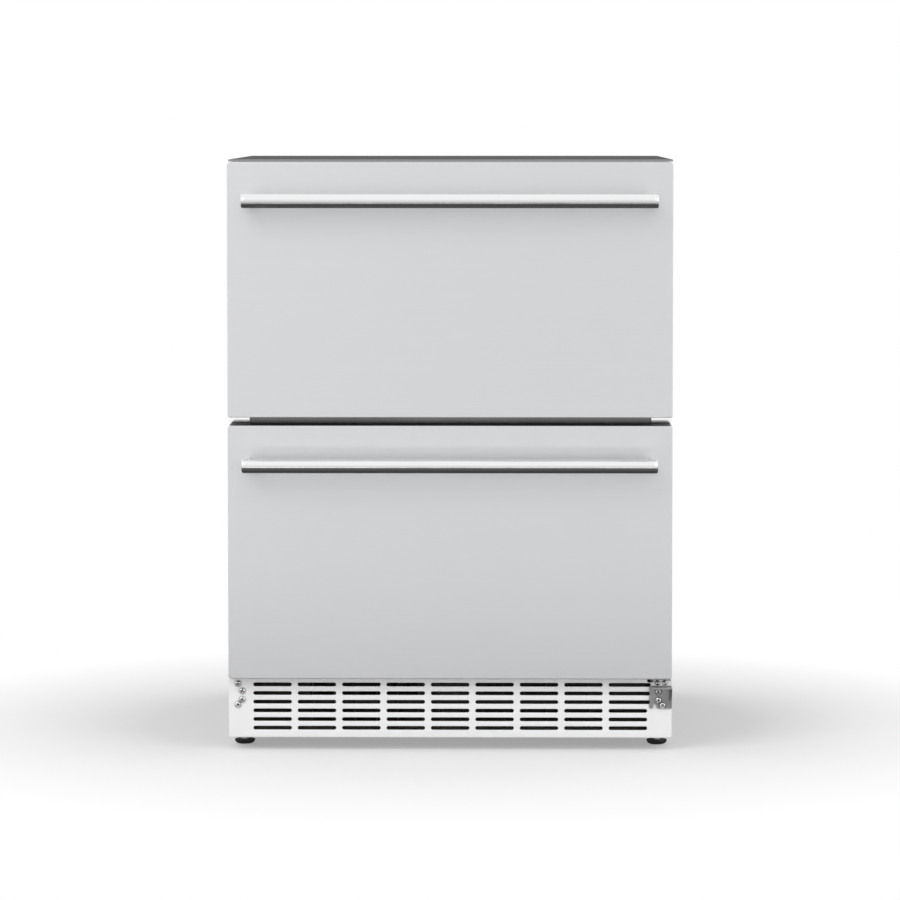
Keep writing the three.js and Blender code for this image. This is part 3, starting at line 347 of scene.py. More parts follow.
def group_named(name):
    """The node group of that name, made at its first use."""
    if name in bpy.data.node_groups:
        return bpy.data.node_groups[name]
    tree = bpy.data.node_groups.new(name, "ShaderNodeTree")
    build, inputs = GROUPS[name]
    for socket, value in inputs.items():
        kind = "NodeSocketFloat" if isinstance(value, float) else "NodeSocketVector"
        tree.interface.new_socket(name=socket, in_out="INPUT", socket_type=kind).default_value = value
    results = build(Nodes(tree), tree.nodes.new("NodeGroupInput").outputs)
    for socket in results:
        tree.interface.new_socket(name=socket, in_out="OUTPUT", socket_type="NodeSocketFloat")
    end = tree.nodes.new("NodeGroupOutput")
    for socket, value in results.items():
        tree.links.new(value, end.inputs[socket])
    return tree


class Finish(Nodes):
    """A node material with one Principled BSDF, and a surface colour that is laid on in layers."""

    def __init__(self, name, base, metallic, roughness, specular):
        self.material = bpy.data.materials.new(name + FINISHED)
        self.material.use_nodes = True
        super().__init__(self.material.node_tree)
        self.shader = self.tree.nodes["Principled BSDF"].inputs
        self.base, self.roughness, self.surface = base, roughness, shade(base, 1.0)
        plain = {"Metallic": metallic, "Roughness": roughness, "Specular IOR Level": specular}
        for socket, value in plain.items():
            self.feed(socket, value)

    def feed(self, socket, value):
        self.fill(self.shader[socket], value)

    def ground(self, mask, low, high):
        """Starts the surface with two tones of the base colour."""
        self.surface = self.mix(mask, shade(self.base, low), shade(self.base, high))

    def layer(self, mask, tone, amount=None):
        """Lays a tone of the base colour, or another colour, over the surface."""
        factor = self.maths("MULTIPLY", mask, amount) if amount else mask
        over = shade(self.base, tone) if isinstance(tone, float) else tone
        self.surface = self.mix(factor, self.surface, over)

    def relief(self, height, strength, distance=0.0002):
        values = {"Height": height, "Strength": strength, "Distance": distance}
        self.feed("Normal", self.add("Bump", values)["Normal"])

    def lines(self, scale):
        return self.group("Brushed lines", Line_scale=scale)

    def marks(self, scale):
        return self.group("Handling marks", Scale=scale)

    def grain(self, scale):
        return self.group("Moulded grain", Scale=scale)

    def worn(self, amount, radius=0.0012):
        return self.group("Edge wear", Radius=radius, Amount=amount)["Mask"]

    def dust(self, amount):
        return self.group("Settled dust", Amount=amount)["Mask"]

    def crevices(self, reach=0.003):
        return self.group("Crevice dirt", Reach=reach)["Mask"]


def sheet_steel(finish, lines, wear, bright=1.28, anisotropic=0.0, dirt=0.0, under=0.0):
    """Brushed sheet: lines in colour and relief, wipe marks, worn edges with a painted highlight,
    painted shade in corners and on faces that look down.
    """
    brushed, marks = finish.lines(lines), finish.marks(5.0)
    finish.ground(brushed["Lines"], 0.975, 1.02)
    finish.layer(brushed["Bands"], 0.97, 0.35)
    finish.layer(marks["Clouds"], 0.985, 0.25)
    # worn edges lightened: partly wear, partly a painted highlight along the edges
    finish.layer(finish.worn(wear), bright)
    # painted shade: faces that look down are darkened almost to black
    if under:
        finish.layer(finish.group("Underside", Amount=under)["Mask"], 0.04)
    # painted shade: ambient occlusion darkens corners, recesses and the ground round screws
    if dirt:
        finish.layer(finish.crevices(), 0.1, dirt)
    rough = finish.spread(brushed["Lines"], 0.0, 1.0, finish.roughness - 0.03, finish.roughness + 0.03)
    finish.feed("Roughness", finish.maths("ADD", rough, finish.maths("MULTIPLY", marks["Wipes"], 0.03)))
    finish.relief(brushed["Lines"], 0.06)
    if anisotropic:
        finish.feed("Anisotropic", anisotropic)
        finish.feed("Anisotropic Rotation", 0.25)
        finish.feed("Tangent", finish.add("Tangent", direction_type="RADIAL", axis="Z")[0])


def grille_steel(finish):
    """Bead-blasted bright sheet, so light that it looks almost white."""
    lines = finish.lines((9.0, 900.0, 1600.0))["Lines"]
    finish.ground(lines, 0.97, 1.0)
    finish.layer(finish.marks(8.0)["Clouds"], 0.96, 0.4)
    finish.layer(finish.worn(0.6), 1.04)
    # painted shade: ambient occlusion darkens the corners, the slots' rims and the ground round the
    # screws
    finish.layer(finish.crevices(0.0025), 0.12, 0.85)
    finish.layer(finish.dust(0.2), (0.6, 0.59, 0.57, 1.0))
    finish.feed("Roughness", finish.spread(lines, 0.0, 1.0, 0.38, 0.46))
    finish.relief(finish.grain(1500.0)["Height"], 0.05)


def zinc_spangle(finish):
    """Zinc spangle: crystals of slightly different grey and gloss."""
    cells = finish.add("TexVoronoi", {"Vector": finish.place(), "Scale": 150.0}, feature="F1")
    crystal = finish.add("SeparateColor", {0: cells["Color"]})["Red"]
    dust = finish.dust(0.25)
    finish.ground(crystal, 0.8, 1.16)
    finish.layer(finish.marks(9.0)["Clouds"], 0.85, 0.3)
    finish.layer(finish.worn(0.7, 0.001), 1.3)
    finish.layer(dust, (0.42, 0.4, 0.37, 1.0))
    rough = finish.spread(crystal, 0.0, 1.0, 0.34, 0.5)
    finish.feed("Roughness", finish.maths("ADD", rough, finish.maths("MULTIPLY", dust, 0.4)))
    finish.relief(crystal, 0.08)


def moulded(finish, grain, relief, dust=0.12, wear=0.3, coat=0.0):
    """Moulded plastic, rubber or powder coat: grain, settled dust and rubbed edges."""
    texture, clouds = finish.grain(grain), finish.marks(7.0)["Clouds"]
    worn, dusty = finish.worn(wear), finish.dust(dust)
    finish.ground(clouds, 0.92, 1.08)
    finish.layer(texture["Speckle"], 1.35, 0.3)
    finish.layer(worn, 1.7, 0.5)
    finish.layer(dusty, DUST)
    rough = finish.spread(clouds, 0.0, 1.0, finish.roughness - 0.04, finish.roughness + 0.04)
    polished = finish.maths("SUBTRACT", rough, finish.maths("MULTIPLY", worn, 0.1))
    finish.feed("Roughness", finish.maths("ADD", polished, finish.maths("MULTIPLY", dusty, 0.3)))
    finish.relief(texture["Height"], relief, 0.0003)
    if coat:
        finish.feed("Coat Weight", coat)
        finish.feed("Coat Roughness", 0.06)


def cabinet_steel(finish):
    """Textured black coat on the outside, bare bright flanges round the openings at the front, with
    painted shade as a darker grey strip along their top.
    """
    colours = settings().colours
    low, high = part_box("cabinet_wrapper")
    texture, brushed = finish.grain(1100.0), finish.lines((9.0, 900.0, 1500.0))
    place = finish.add("SeparateXYZ", {0: finish.place()})
    bare = finish.spread(place["Y"], low.y + 0.0022, low.y + 0.0018)
    # painted shade: the top few millimetres of the front flange take a darker grey copy of the steel
    rail = finish.spread(place["Z"], high.z - 0.003, high.z - 0.002)
    bright = finish.mix(brushed["Lines"], shade(colours.flange, 0.97), shade(colours.flange, 1.02))
    finish.ground(finish.marks(5.0)["Clouds"], 0.9, 1.15)
    finish.layer(texture["Speckle"], 2.2, 0.5)
    finish.layer(finish.dust(0.05), DUST)
    finish.layer(finish.worn(0.7), 3.0)
    finish.layer(bare, finish.mix(rail, bright, shade(colours.stainless, 0.45)))
    finish.feed("Metallic", bare)
    finish.feed("Roughness", finish.spread(bare, 0.0, 1.0, finish.roughness, 0.1))
    coated = finish.maths("SUBTRACT", 1.0, bare)
    finish.relief(finish.maths("MULTIPLY", texture["Height"], coated), 0.35, 0.0003)


def mullion_metal(finish):
    """Dark buffed metal, with lighter soft patches along the rail that are painted reflections."""
    brushed = finish.lines((350.0, 1500.0, 1500.0))
    # painted reflection: wide bands lighten the metal in soft patches
    finish.ground(brushed["Bands"], 0.65, 1.5)
    finish.layer(finish.marks(12.0)["Clouds"], 0.8, 0.4)
    finish.layer(finish.worn(0.5, 0.001), 1.8)
    finish.feed("Roughness", finish.spread(brushed["Lines"], 0.0, 1.0, 0.16, 0.24))
    finish.relief(brushed["Lines"], 0.03)


def cut_foam(finish):
    """Cut foam: open cells of two sizes."""
    cells = finish.grain(420.0)
    finish.ground(cells["Speckle"], 0.95, 0.7)
    finish.layer(finish.marks(14.0)["Clouds"], 1.08)
    finish.relief(cells["Height"], 0.6, 0.001)


def ribbed_lens(finish):
    """Milky lens with fine ribs along the lamp."""
    ribs = finish.lines((900.0, 4.0, 4.0))["Lines"]
    finish.ground(finish.marks(9.0)["Clouds"], 0.94, 1.04)
    finish.feed("Roughness", finish.spread(ribs, 0.0, 1.0, 0.2, 0.34))
    finish.relief(ribs, 0.25, 0.0005)


# Each finish's colour; metallic, roughness and specular level; builder and the builder's values.
FINISHES = {
    "stainless": (
        "stainless", 0.9, 0.38, 0.5, sheet_steel, ((6.0, 900.0, 1900.0), 0.6), {"anisotropic": 0.5}
    ),
    "grille_steel": ("grille", 0.2, 0.4, 0.5, grille_steel, (), {}),
    # handle bars: painted shade on the faces that look down
    "handle_steel": (
        "handle", 1.0, 0.12, 0.5, sheet_steel, ((9.0, 1400.0, 1400.0), 0.3), {"under": 0.93}
    ),
    "cabinet_steel": ("coat", 0.0, 0.62, 0.2, cabinet_steel, (), {}),
    "galvanised": ("galvanised", 0.9, 0.42, 0.5, zinc_spangle, (), {}),
    # bracket: its high edge tone paints a highlight along its edges; bracket, slides and screws get
    # painted shade in corners and recesses
    "bracket_steel": (
        "bracket", 1.0, 0.36, 0.5, sheet_steel, ((160.0, 160.0, 700.0), 1.0, 2.6), {"dirt": 0.9}
    ),
    "slide_steel": ("slide", 1.0, 0.3, 0.5, sheet_steel, ((900.0, 12.0, 900.0), 0.9), {"dirt": 0.4}),
    "screw_steel": ("screw", 1.0, 0.18, 0.5, sheet_steel, ((700.0, 160.0, 700.0), 0.9), {"dirt": 0.9}),
    "gloss_black": ("gloss_black", 0.0, 0.12, 0.5, moulded, (500.0, 0.02, 0.1, 0.2), {"coat": 0.8}),
    "mullion_metal": ("mullion", 0.9, 0.2, 0.5, mullion_metal, (), {}),
    "black_plastic": ("black_plastic", 0.0, 0.46, 0.5, moulded, (1300.0, 0.25), {}),
    "grey_plastic": ("grey_plastic", 0.0, 0.44, 0.5, moulded, (1300.0, 0.22), {}),
    "button_plastic": ("button", 0.0, 0.38, 0.5, moulded, (1600.0, 0.12), {}),
    "button_mark": ("mark", 0.0, 0.5, 0.5, moulded, (2500.0, 0.05, 0.0, 0.0), {}),
    "liner_plastic": ("liner", 0.0, 0.36, 0.5, moulded, (220.0, 0.1, 0.08), {}),
    "bin_plastic": ("bin", 0.0, 0.3, 0.5, moulded, (260.0, 0.06, 0.06), {"coat": 0.2}),
    "gasket_rubber": ("gasket", 0.0, 0.62, 0.5, moulded, (1500.0, 0.15, 0.15, 0.2), {}),
    "foot_rubber": ("rubber", 0.0, 0.5, 0.5, moulded, (1500.0, 0.2, 0.3, 0.5), {}),
    "black_paint": ("paint", 0.0, 0.4, 0.5, moulded, (350.0, 0.15, 0.6, 0.8), {}),
    "foam": ("foam", 0.0, 0.9, 0.2, cut_foam, (), {}),
    "coil_metal": ("coil", 1.0, 0.3, 0.5, sheet_steel, ((40.0, 400.0, 900.0), 0.5), {}),
    "lamp_lens": ("lens", 0.0, 0.25, 0.5, ribbed_lens, (), {}),
}


def finish_named(name):
    """The finish of that name, made at its first use."""
    if name + FINISHED not in bpy.data.materials:
        key, metallic, roughness, specular, build, values, looks = FINISHES[name]
        finish = Finish(name, getattr(settings().colours, key), metallic, roughness, specular)
        build(finish, *values, **looks)
        finish.feed("Base Color", finish.surface)
    return bpy.data.materials[name + FINISHED]


# ---------------------------------------------------------------- mesh helpers

WELD = 1e-6  # corners closer than this are one
FLAT = math.radians(0.6)  # faces that meet flatter than this are one face
ROUNDED = math.radians(32)  # edges sharper than this are rounded
SMOOTH = math.radians(38)  # faces that meet flatter than this are shaded as one surface


def shape_mesh(name, shape, smooth=SMOOTH):
    """Finishes a bmesh: outward faces, smooth shading that stops at sharp edges."""
    bmesh.ops.recalc_face_normals(shape, faces=shape.faces)
    for face in shape.faces:
        face.smooth = True
    mesh = bpy.data.meshes.new(name)
    shape.to_mesh(mesh)
    shape.free()
    mesh.set_sharp_from_angle(angle=smooth)
    return mesh


def place_piece(name, mesh, finish, body="cabinet", slot=None, replaces=(), even=False, **placing):
    """Puts a mesh into the scene with its finish, body and the nodes that it stands for.

    The slot is not used, and even shading keeps flat faces flat beside their rounded edges."""
    piece = bpy.data.objects.new(name, mesh)
    for key, value in placing.items():
        setattr(piece, key, value)
    bpy.context.scene.collection.objects.link(piece)
    mesh.materials.clear()
    mesh.materials.append(finish_named(finish))
    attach(piece, body)
    if replaces:
        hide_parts(*replaces)
    if even:
        piece.modifiers.new("even shading", "WEIGHTED_NORMAL").keep_sharp = True
    return piece


def place_shape(name, shape, finish, smooth=SMOOTH, **placing):
    return place_piece(name, shape_mesh(name, shape, smooth), finish, **placing)


def dress_node(node, finish, width, body="cabinet", slot=None):
    """Stands for a CAD node with the same shape and rounded edges."""
    shape = bmesh.new()
    shape.from_mesh(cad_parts[node].data)
    bmesh.ops.remove_doubles(shape, verts=shape.verts, dist=WELD)
    bmesh.ops.dissolve_limit(shape, angle_limit=FLAT, verts=shape.verts, edges=shape.edges)
    sharp = [
        edge
        for edge in shape.edges
        if len(edge.link_faces) == 2 and edge.calc_face_angle(0.0) > ROUNDED
    ]
    looks = {"segments": 2, "profile": 0.5, "affect": "EDGES", "clamp_overlap": True}
    bmesh.ops.bevel(shape, geom=sharp, offset=width, offset_type="OFFSET", **looks)
    place_shape(node + "_dressed", shape, finish, body=body, slot=slot, replaces=(node,), even=True)


def refinish_node(node, finish):
    """Gives a CAD node that keeps its shape its finish."""
    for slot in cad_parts[node].material_slots:
        slot.material = finish_named(finish)


def rounded_outline(half_width, low, high, radius, steps):
    """Points of a rectangle with round corners in X and Z, anticlockwise as the front is seen."""
    points = []
    for side_x, side_z, start in ((1, -1, -90), (1, 1, 0), (-1, 1, 90), (-1, -1, 180)):
        centre_x = side_x * (half_width - radius)
        centre_z = high - radius if side_z > 0 else low + radius
        for step in range(steps + 1):
            angle = math.radians(start + 90.0 * step / steps)
            points.append((centre_x + radius * math.cos(angle), centre_z + radius * math.sin(angle)))
    return points


def slot_outline(hole, grow, steps):
    """Outline of a hole with round corners; hole is its centre, length, height and corner radius."""
    x, z, hole_length, hole_height, corner = hole
    low, high = z - hole_height / 2 - grow, z + hole_height / 2 + grow
    ring = rounded_outline(hole_length / 2 + grow, low, high, corner + grow, steps)
    pairs = zip(ring, ring[-1:] + ring)
    return [(x + now[0], now[1]) for now, last in pairs if math.dist(now, last) > WELD]


def plus_outline(arm, half):
    """Outline of a plus: arm is the length from its middle, half is half the width of its bars."""
    points = [(arm, -half), (arm, half), (half, half), (half, arm), (-half, arm), (-half, half)]
    return points + [(-x, -z) for x, z in points]


def add_ring(shape, points, depth):
    return [shape.verts.new((x, depth, z)) for x, z in points]


def box_ring(shape, box, corner, steps, inset, depth):
    """Ring with round corners that far inside the edge of a box's front, at a depth."""
    low, high = box
    radius = max(corner - inset, 0.00005)
    points = rounded_outline(high.x - inset, low.z + inset, high.z - inset, radius, steps)
    return add_ring(shape, points, depth)


def loft(shape, rings, ends="closed"):
    """Quads between rings of equal size, whose ends are closed, open, or joined into a loop."""
    for first, second in zip(rings, rings[1:] + rings[:1] if ends == "joined" else rings[1:]):
        for index in range(len(first)):
            after = (index + 1) % len(first)
            shape.faces.new((first[index], first[after], second[after], second[index]))
    if ends == "closed":
        for ring in (rings[0], rings[-1]):
            shape.faces.new(ring)


def fill_plate(shape, rings, normal=(0, -1, 0)):
    """Flat face inside the first ring, open where the others are."""
    if len(rings) == 1:
        shape.faces.new(rings[0])
        return
    edges = []
    for ring in rings:
        for pair in zip(ring, ring[1:] + ring[:1]):
            edges.append(shape.edges.get(pair) or shape.edges.new(pair))
    bmesh.ops.triangle_fill(shape, use_beauty=True, use_dissolve=False, edges=edges, normal=normal)


def folded_tray(shape, node, corner, steps, sheet, fold, holes=(), rim=0.0, hole_steps=0):
    """Sheet in a node's box with its four edges folded back, and holes with softened rims."""
    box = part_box(node)
    front, back = box[0].y, box[1].y
    turns = [math.pi / 2 * step / 4 for step in range(5)]
    lip = min(sheet * 0.3, 0.0004)
    profile = [(fold * (1 - math.sin(turn)), front + fold * (1 - math.cos(turn))) for turn in turns]
    profile += [(0.0, back - lip), (lip, back), (sheet - lip, back)]
    profile += [(sheet, back - lip), (sheet, front + sheet)]
    rings = [box_ring(shape, box, corner, steps, inset, y) for inset, y in profile]
    loft(shape, rings, "open")
    rims = ((rim, 0.0), (rim * 0.3, rim * 0.3), (0.0, rim), (0.0, sheet))
    walls = []
    for hole in holes:
        outlines = [(slot_outline(hole, grow, hole_steps), front + y) for grow, y in rims]
        walls.append([add_ring(shape, *outline) for outline in outlines])
        loft(shape, walls[-1], "open")
    for end in (0, -1):
        fill_plate(shape, [rings[end], *(wall[end] for wall in walls)])


AXES = {
    "x": (Vector((0, 1, 0)), Vector((0, 0, 1)), Vector((1, 0, 0))),
    "y": (Vector((0, 0, 1)), Vector((1, 0, 0)), Vector((0, 1, 0))),
    "z": (Vector((1, 0, 0)), Vector((0, 1, 0)), Vector((0, 0, 1))),
}


def turn_profile(shape, profile, axis, sides, centre=(0, 0, 0), wobble=None):
    """Solid of revolution of (radius, height) points; wobble(angle, radius) alters a radius."""
    across, up, along = AXES[axis]
    rings = []
    for radius, height in profile:
        rings.append([])
        for side in range(sides if radius > 0 else 1):
            angle = 2 * math.pi * side / sides
            reach = wobble(angle, radius) if wobble else radius
            point = across * (reach * math.cos(angle)) + up * (reach * math.sin(angle)) + along * height
            rings[-1].append(shape.verts.new(Vector(centre) + point))
    for first, second in zip(rings, rings[1:]):
        for side in range(sides):
            ends = [first[side % len(first)], first[(side + 1) % sides % len(first)]]
            ends += [second[(side + 1) % sides % len(second)], second[side % len(second)]]
            shape.faces.new(list(dict.fromkeys(ends)))  # triangles where a ring is one point
    for ring in (rings[0], rings[-1]):
        if len(ring) > 1:
            shape.faces.new(ring)


def add_block(shape, low, high, width):
    """Rectangular block with rounded edges."""
    made = bmesh.ops.create_cube(shape, size=1.0)["verts"]
    for vert in made:
        vert.co = Vector(low[i] + (high[i] - low[i]) * (vert.co[i] + 0.5) for i in range(3))
    edges = list({edge for vert in made for edge in vert.link_edges})
    bmesh.ops.bevel(shape, geom=edges, offset=width, segments=3, profile=0.5, affect="EDGES")


def cut_by(name, *meshes):
    """The first mesh less the second."""
    body, tool = pair = [bpy.data.objects.new(name, mesh) for mesh in meshes]
    for item in pair:
        bpy.context.scene.collection.objects.link(item)
    difference = body.modifiers.new("cut", "BOOLEAN")
    difference.operation, difference.solver, difference.object = "DIFFERENCE", "EXACT", tool
    bpy.context.view_layer.update()
    result = bpy.data.meshes.new_from_object(body.evaluated_get(bpy.context.evaluated_depsgraph_get()))
    for item in pair:
        bpy.data.objects.remove(item)
    result.name = name
    return result


# ---------------------------------------------------------------- pieces


def cross_screw_mesh(head_radius, head_height, shank, reach):
    """Pan-head screw along Y, its head's underside at the origin, with a tapered cross recess."""
    profile = [(0.0, -head_height)]
    for step in range(7):
        angle = math.pi / 2 * step / 6
        across = head_radius * (0.52 + 0.48 * math.sin(angle))
        profile.append((across, -head_height + head_height * 0.8 * (1 - math.cos(angle))))
    profile += [(head_radius, -0.0002), (head_radius - 0.0002, 0.0), (shank, 0.0)]
    profile += [(shank, reach - shank * 0.5), (shank * 0.4, reach), (0, reach)]
    shape, tool = bmesh.new(), bmesh.new()
    turn_profile(shape, profile, "y", 32)
    outline = plus_outline(head_radius * 0.66, head_radius * 0.19)
    ends = ((-head_height - 0.0005, 1.08), (-head_height * 0.2, 0.6))
    scaled = [([(x * narrow, z * narrow) for x, z in outline], y) for y, narrow in ends]
    loft(tool, [add_ring(tool, *ring) for ring in scaled])
    return cut_by("cross_screw", shape_mesh("screw_head", shape), shape_mesh("screw_recess", tool))


def swept_gasket(shape, node, steps):
    """Bellows profile carried round the rounded rectangle of a gasket's CAD node."""
    box = low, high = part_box(node)
    depth, width = high.y - low.y, 0.014
    profile = [(0.0, 0.0), (0.0, 0.0025), (0.0022, 0.0034), (0.0034, 0.0046), (0.0022, 0.0058)]
    profile += [(0.0012, 0.0066), (0.0002, 0.0078), (0.0, 0.0092)]
    profile += [(0.0006, depth - 0.0006), (0.0018, depth)]
    profile += [(width / 2, depth - 0.0005), *((width - inset, y) for inset, y in reversed(profile))]
    corner = width / 2 + 0.004
    rings = [box_ring(shape, box, corner, steps, inset, low.y + y) for inset, y in profile]
    loft(shape, rings, "joined")


def handle_bar(node, sizes):
    """Bar with rounded ends and the seams of its end caps."""
    low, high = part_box(node)
    shape = bmesh.new()
    half_length, radius, rounding = (high.x - low.x) / 2, (high.z - low.z) / 2, sizes.end_radius
    seam = half_length - sizes.cap
    half = [(radius, 0.0), (radius, seam - 0.0004)]
    half += [(radius - sizes.seam, seam), (radius, seam + 0.0004)]
    for step in range(9):
        angle = math.pi / 2 * step / 8
        inward, back = rounding * (1 - math.cos(angle)), rounding * (1 - math.sin(angle))
        half.append((radius - inward, half_length - back))
    profile = [(reach, -x) for reach, x in reversed(half)] + half[1:]
    turn_profile(shape, profile, "x", sizes.sides, (low + high) / 2)
    return shape


def handle_post(node, bar, sizes):
    """Post with a flange on the front, a saddle that fits the bar's back, and a grub screw below."""
    low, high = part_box(node)
    bar_low, bar_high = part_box(bar)
    axis = (bar_low + bar_high) / 2
    bar_radius = (bar_high.z - bar_low.z) / 2 + 0.00005
    centre_x, stem, flange, sides = (low.x + high.x) / 2, sizes.stem, high.y - sizes.foot_height, 48
    foot = (high.x - low.x) / 2
    profile = [(foot, high.y), (foot, flange + 0.0006), (foot - 0.0006, flange)]
    profile += [(stem + 0.0008, flange), (stem, flange - 0.0008), (stem, None)]
    shape = bmesh.new()
    rings = []
    for radius, y in profile:
        rings.append([])
        for side in range(sides):
            turn = 2 * math.pi * side / sides
            z = radius * math.sin(turn)
            level = axis.y + math.sqrt(bar_radius**2 - z**2) if y is None else y
            rings[-1].append(shape.verts.new((centre_x + radius * math.cos(turn), level, axis.z + z)))
    loft(shape, rings)
    screw, bottom = sizes.grub_screw, -stem - 0.0003
    profile = [(0, -stem - 0.00005), (screw * 0.5, -stem - 0.00005), (screw, bottom)]
    profile += [(screw, -stem + 0.001), (0, -stem + 0.001)]
    turn_profile(shape, profile, "z", 16, (centre_x, (high.y + axis.y) / 2, axis.z))
    return shape


def levelling_foot(node, sizes):
    """Ribbed rubber pad, chamfered hexagon nut and threaded stem."""
    low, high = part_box(node)
    centre = Vector(((low.x + high.x) / 2, (low.y + high.y) / 2, low.z))
    pad, pad_top = (high.x - low.x) / 2, sizes.pad_height
    nut, nut_low, nut_top = sizes.nut, pad_top - 0.0005, pad_top + 0.006
    shape = bmesh.new()

    def ribbed(angle, radius):
        groove = 0.5 - 0.5 * math.cos(sizes.ribs * angle)
        return radius - sizes.rib_depth * groove if radius > pad * 0.9 else radius

    profile = [(0, 0.0), (pad * 0.5, 0.0)]
    for step in range(1, 7):
        angle = math.pi / 2 * step / 6
        profile.append((pad * (0.5 + 0.5 * math.sin(angle)), 0.0055 * (1 - math.cos(angle))))
    profile += [(pad, pad_top - 0.0012), (pad * 0.985, pad_top - 0.0004)]
    profile += [(pad * 0.93, pad_top), (0, pad_top)]
    turn_profile(shape, profile, "z", sizes.ribs * 4, centre, ribbed)
    profile = [(0, nut_low), (nut * 0.9, nut_low), (nut, pad_top + 0.0004)]
    profile += [(nut, nut_top - 0.0005), (nut * 0.9, nut_top), (0, nut_top)]
    turn_profile(shape, profile, "z", 6, centre)
    sides, rows = 20, 6
    rings = []
    for row in range(int((high.z - low.z - nut_top) / sizes.thread_pitch * rows) + 1):
        rings.append([])
        for side in range(sides):
            angle = 2 * math.pi * side / sides
            turn = (row / rows - side / sides) % 1.0
            radius = sizes.stem - sizes.thread_depth * abs(2 * turn - 1)
            height = nut_top - 0.0002 + row * sizes.thread_pitch / rows
            point = Vector((radius * math.cos(angle), radius * math.sin(angle), height))
            rings[-1].append(shape.verts.new(centre + point))
    loft(shape, rings)
    return shape


def rolled_channel(node, web_right, sizes):
    """Rolled channel of a telescopic slide, with slots in its web."""
    low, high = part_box(node)
    outer_x, inner_x = (high.x, low.x) if web_right else (low.x, high.x)
    toward = math.copysign(1.0, outer_x - inner_x)
    steps = 5
    web = steps + 1
    shape = bmesh.new()

    def section(offset):
        reach = sizes.roll - offset
        points = [(inner_x, high.z - offset)]
        for centre_z, start in ((high.z - sizes.roll, 90), (low.z + sizes.roll, 0)):
            for step in range(steps + 1):
                angle = math.radians(start - 90.0 * step / steps)
                x = outer_x - toward * sizes.roll + toward * reach * math.cos(angle)
                points.append((x, centre_z + reach * math.sin(angle)))
        return [*points, (inner_x, low.z + offset)]

    paths = [section(offset) for offset in (0.0, sizes.sheet)]
    near, far = ([add_ring(shape, path, y) for path in paths] for y in (low.y, high.y))
    for first, second in zip(near, far):
        for index in range(len(first) - 1):
            if index != web:
                shape.faces.new((first[index], first[index + 1], second[index + 1], second[index]))
    for outer, inner in (near, far):
        shape.faces.new([*outer, *reversed(inner)])
    for end in (0, -1):
        shape.faces.new((near[0][end], far[0][end], far[1][end], near[1][end]))
    slots = []
    for part in (0.09, 0.26, 0.5, 0.74, 0.91):
        hole = (low.y + part * (high.y - low.y), (low.z + high.z) / 2, 0.016, 0.006, 0.003)
        outline = slot_outline(hole, 0.0, 4)
        faces_x = (outer_x, outer_x - toward * sizes.sheet)
        slots.append([[shape.verts.new((x, y, z)) for y, z in outline] for x in faces_x])
        loft(shape, slots[-1], "open")
    for path in (0, 1):
        first, second = near[path], far[path]
        corners = [first[web], first[web + 1], second[web + 1], second[web]]
        fill_plate(shape, [corners, *(slot[path] for slot in slots)], (toward, 0, 0))
    return shape


class PieceOperator:
    """What the operators that build pieces share."""

    bl_options = {"REGISTER", "UNDO"}


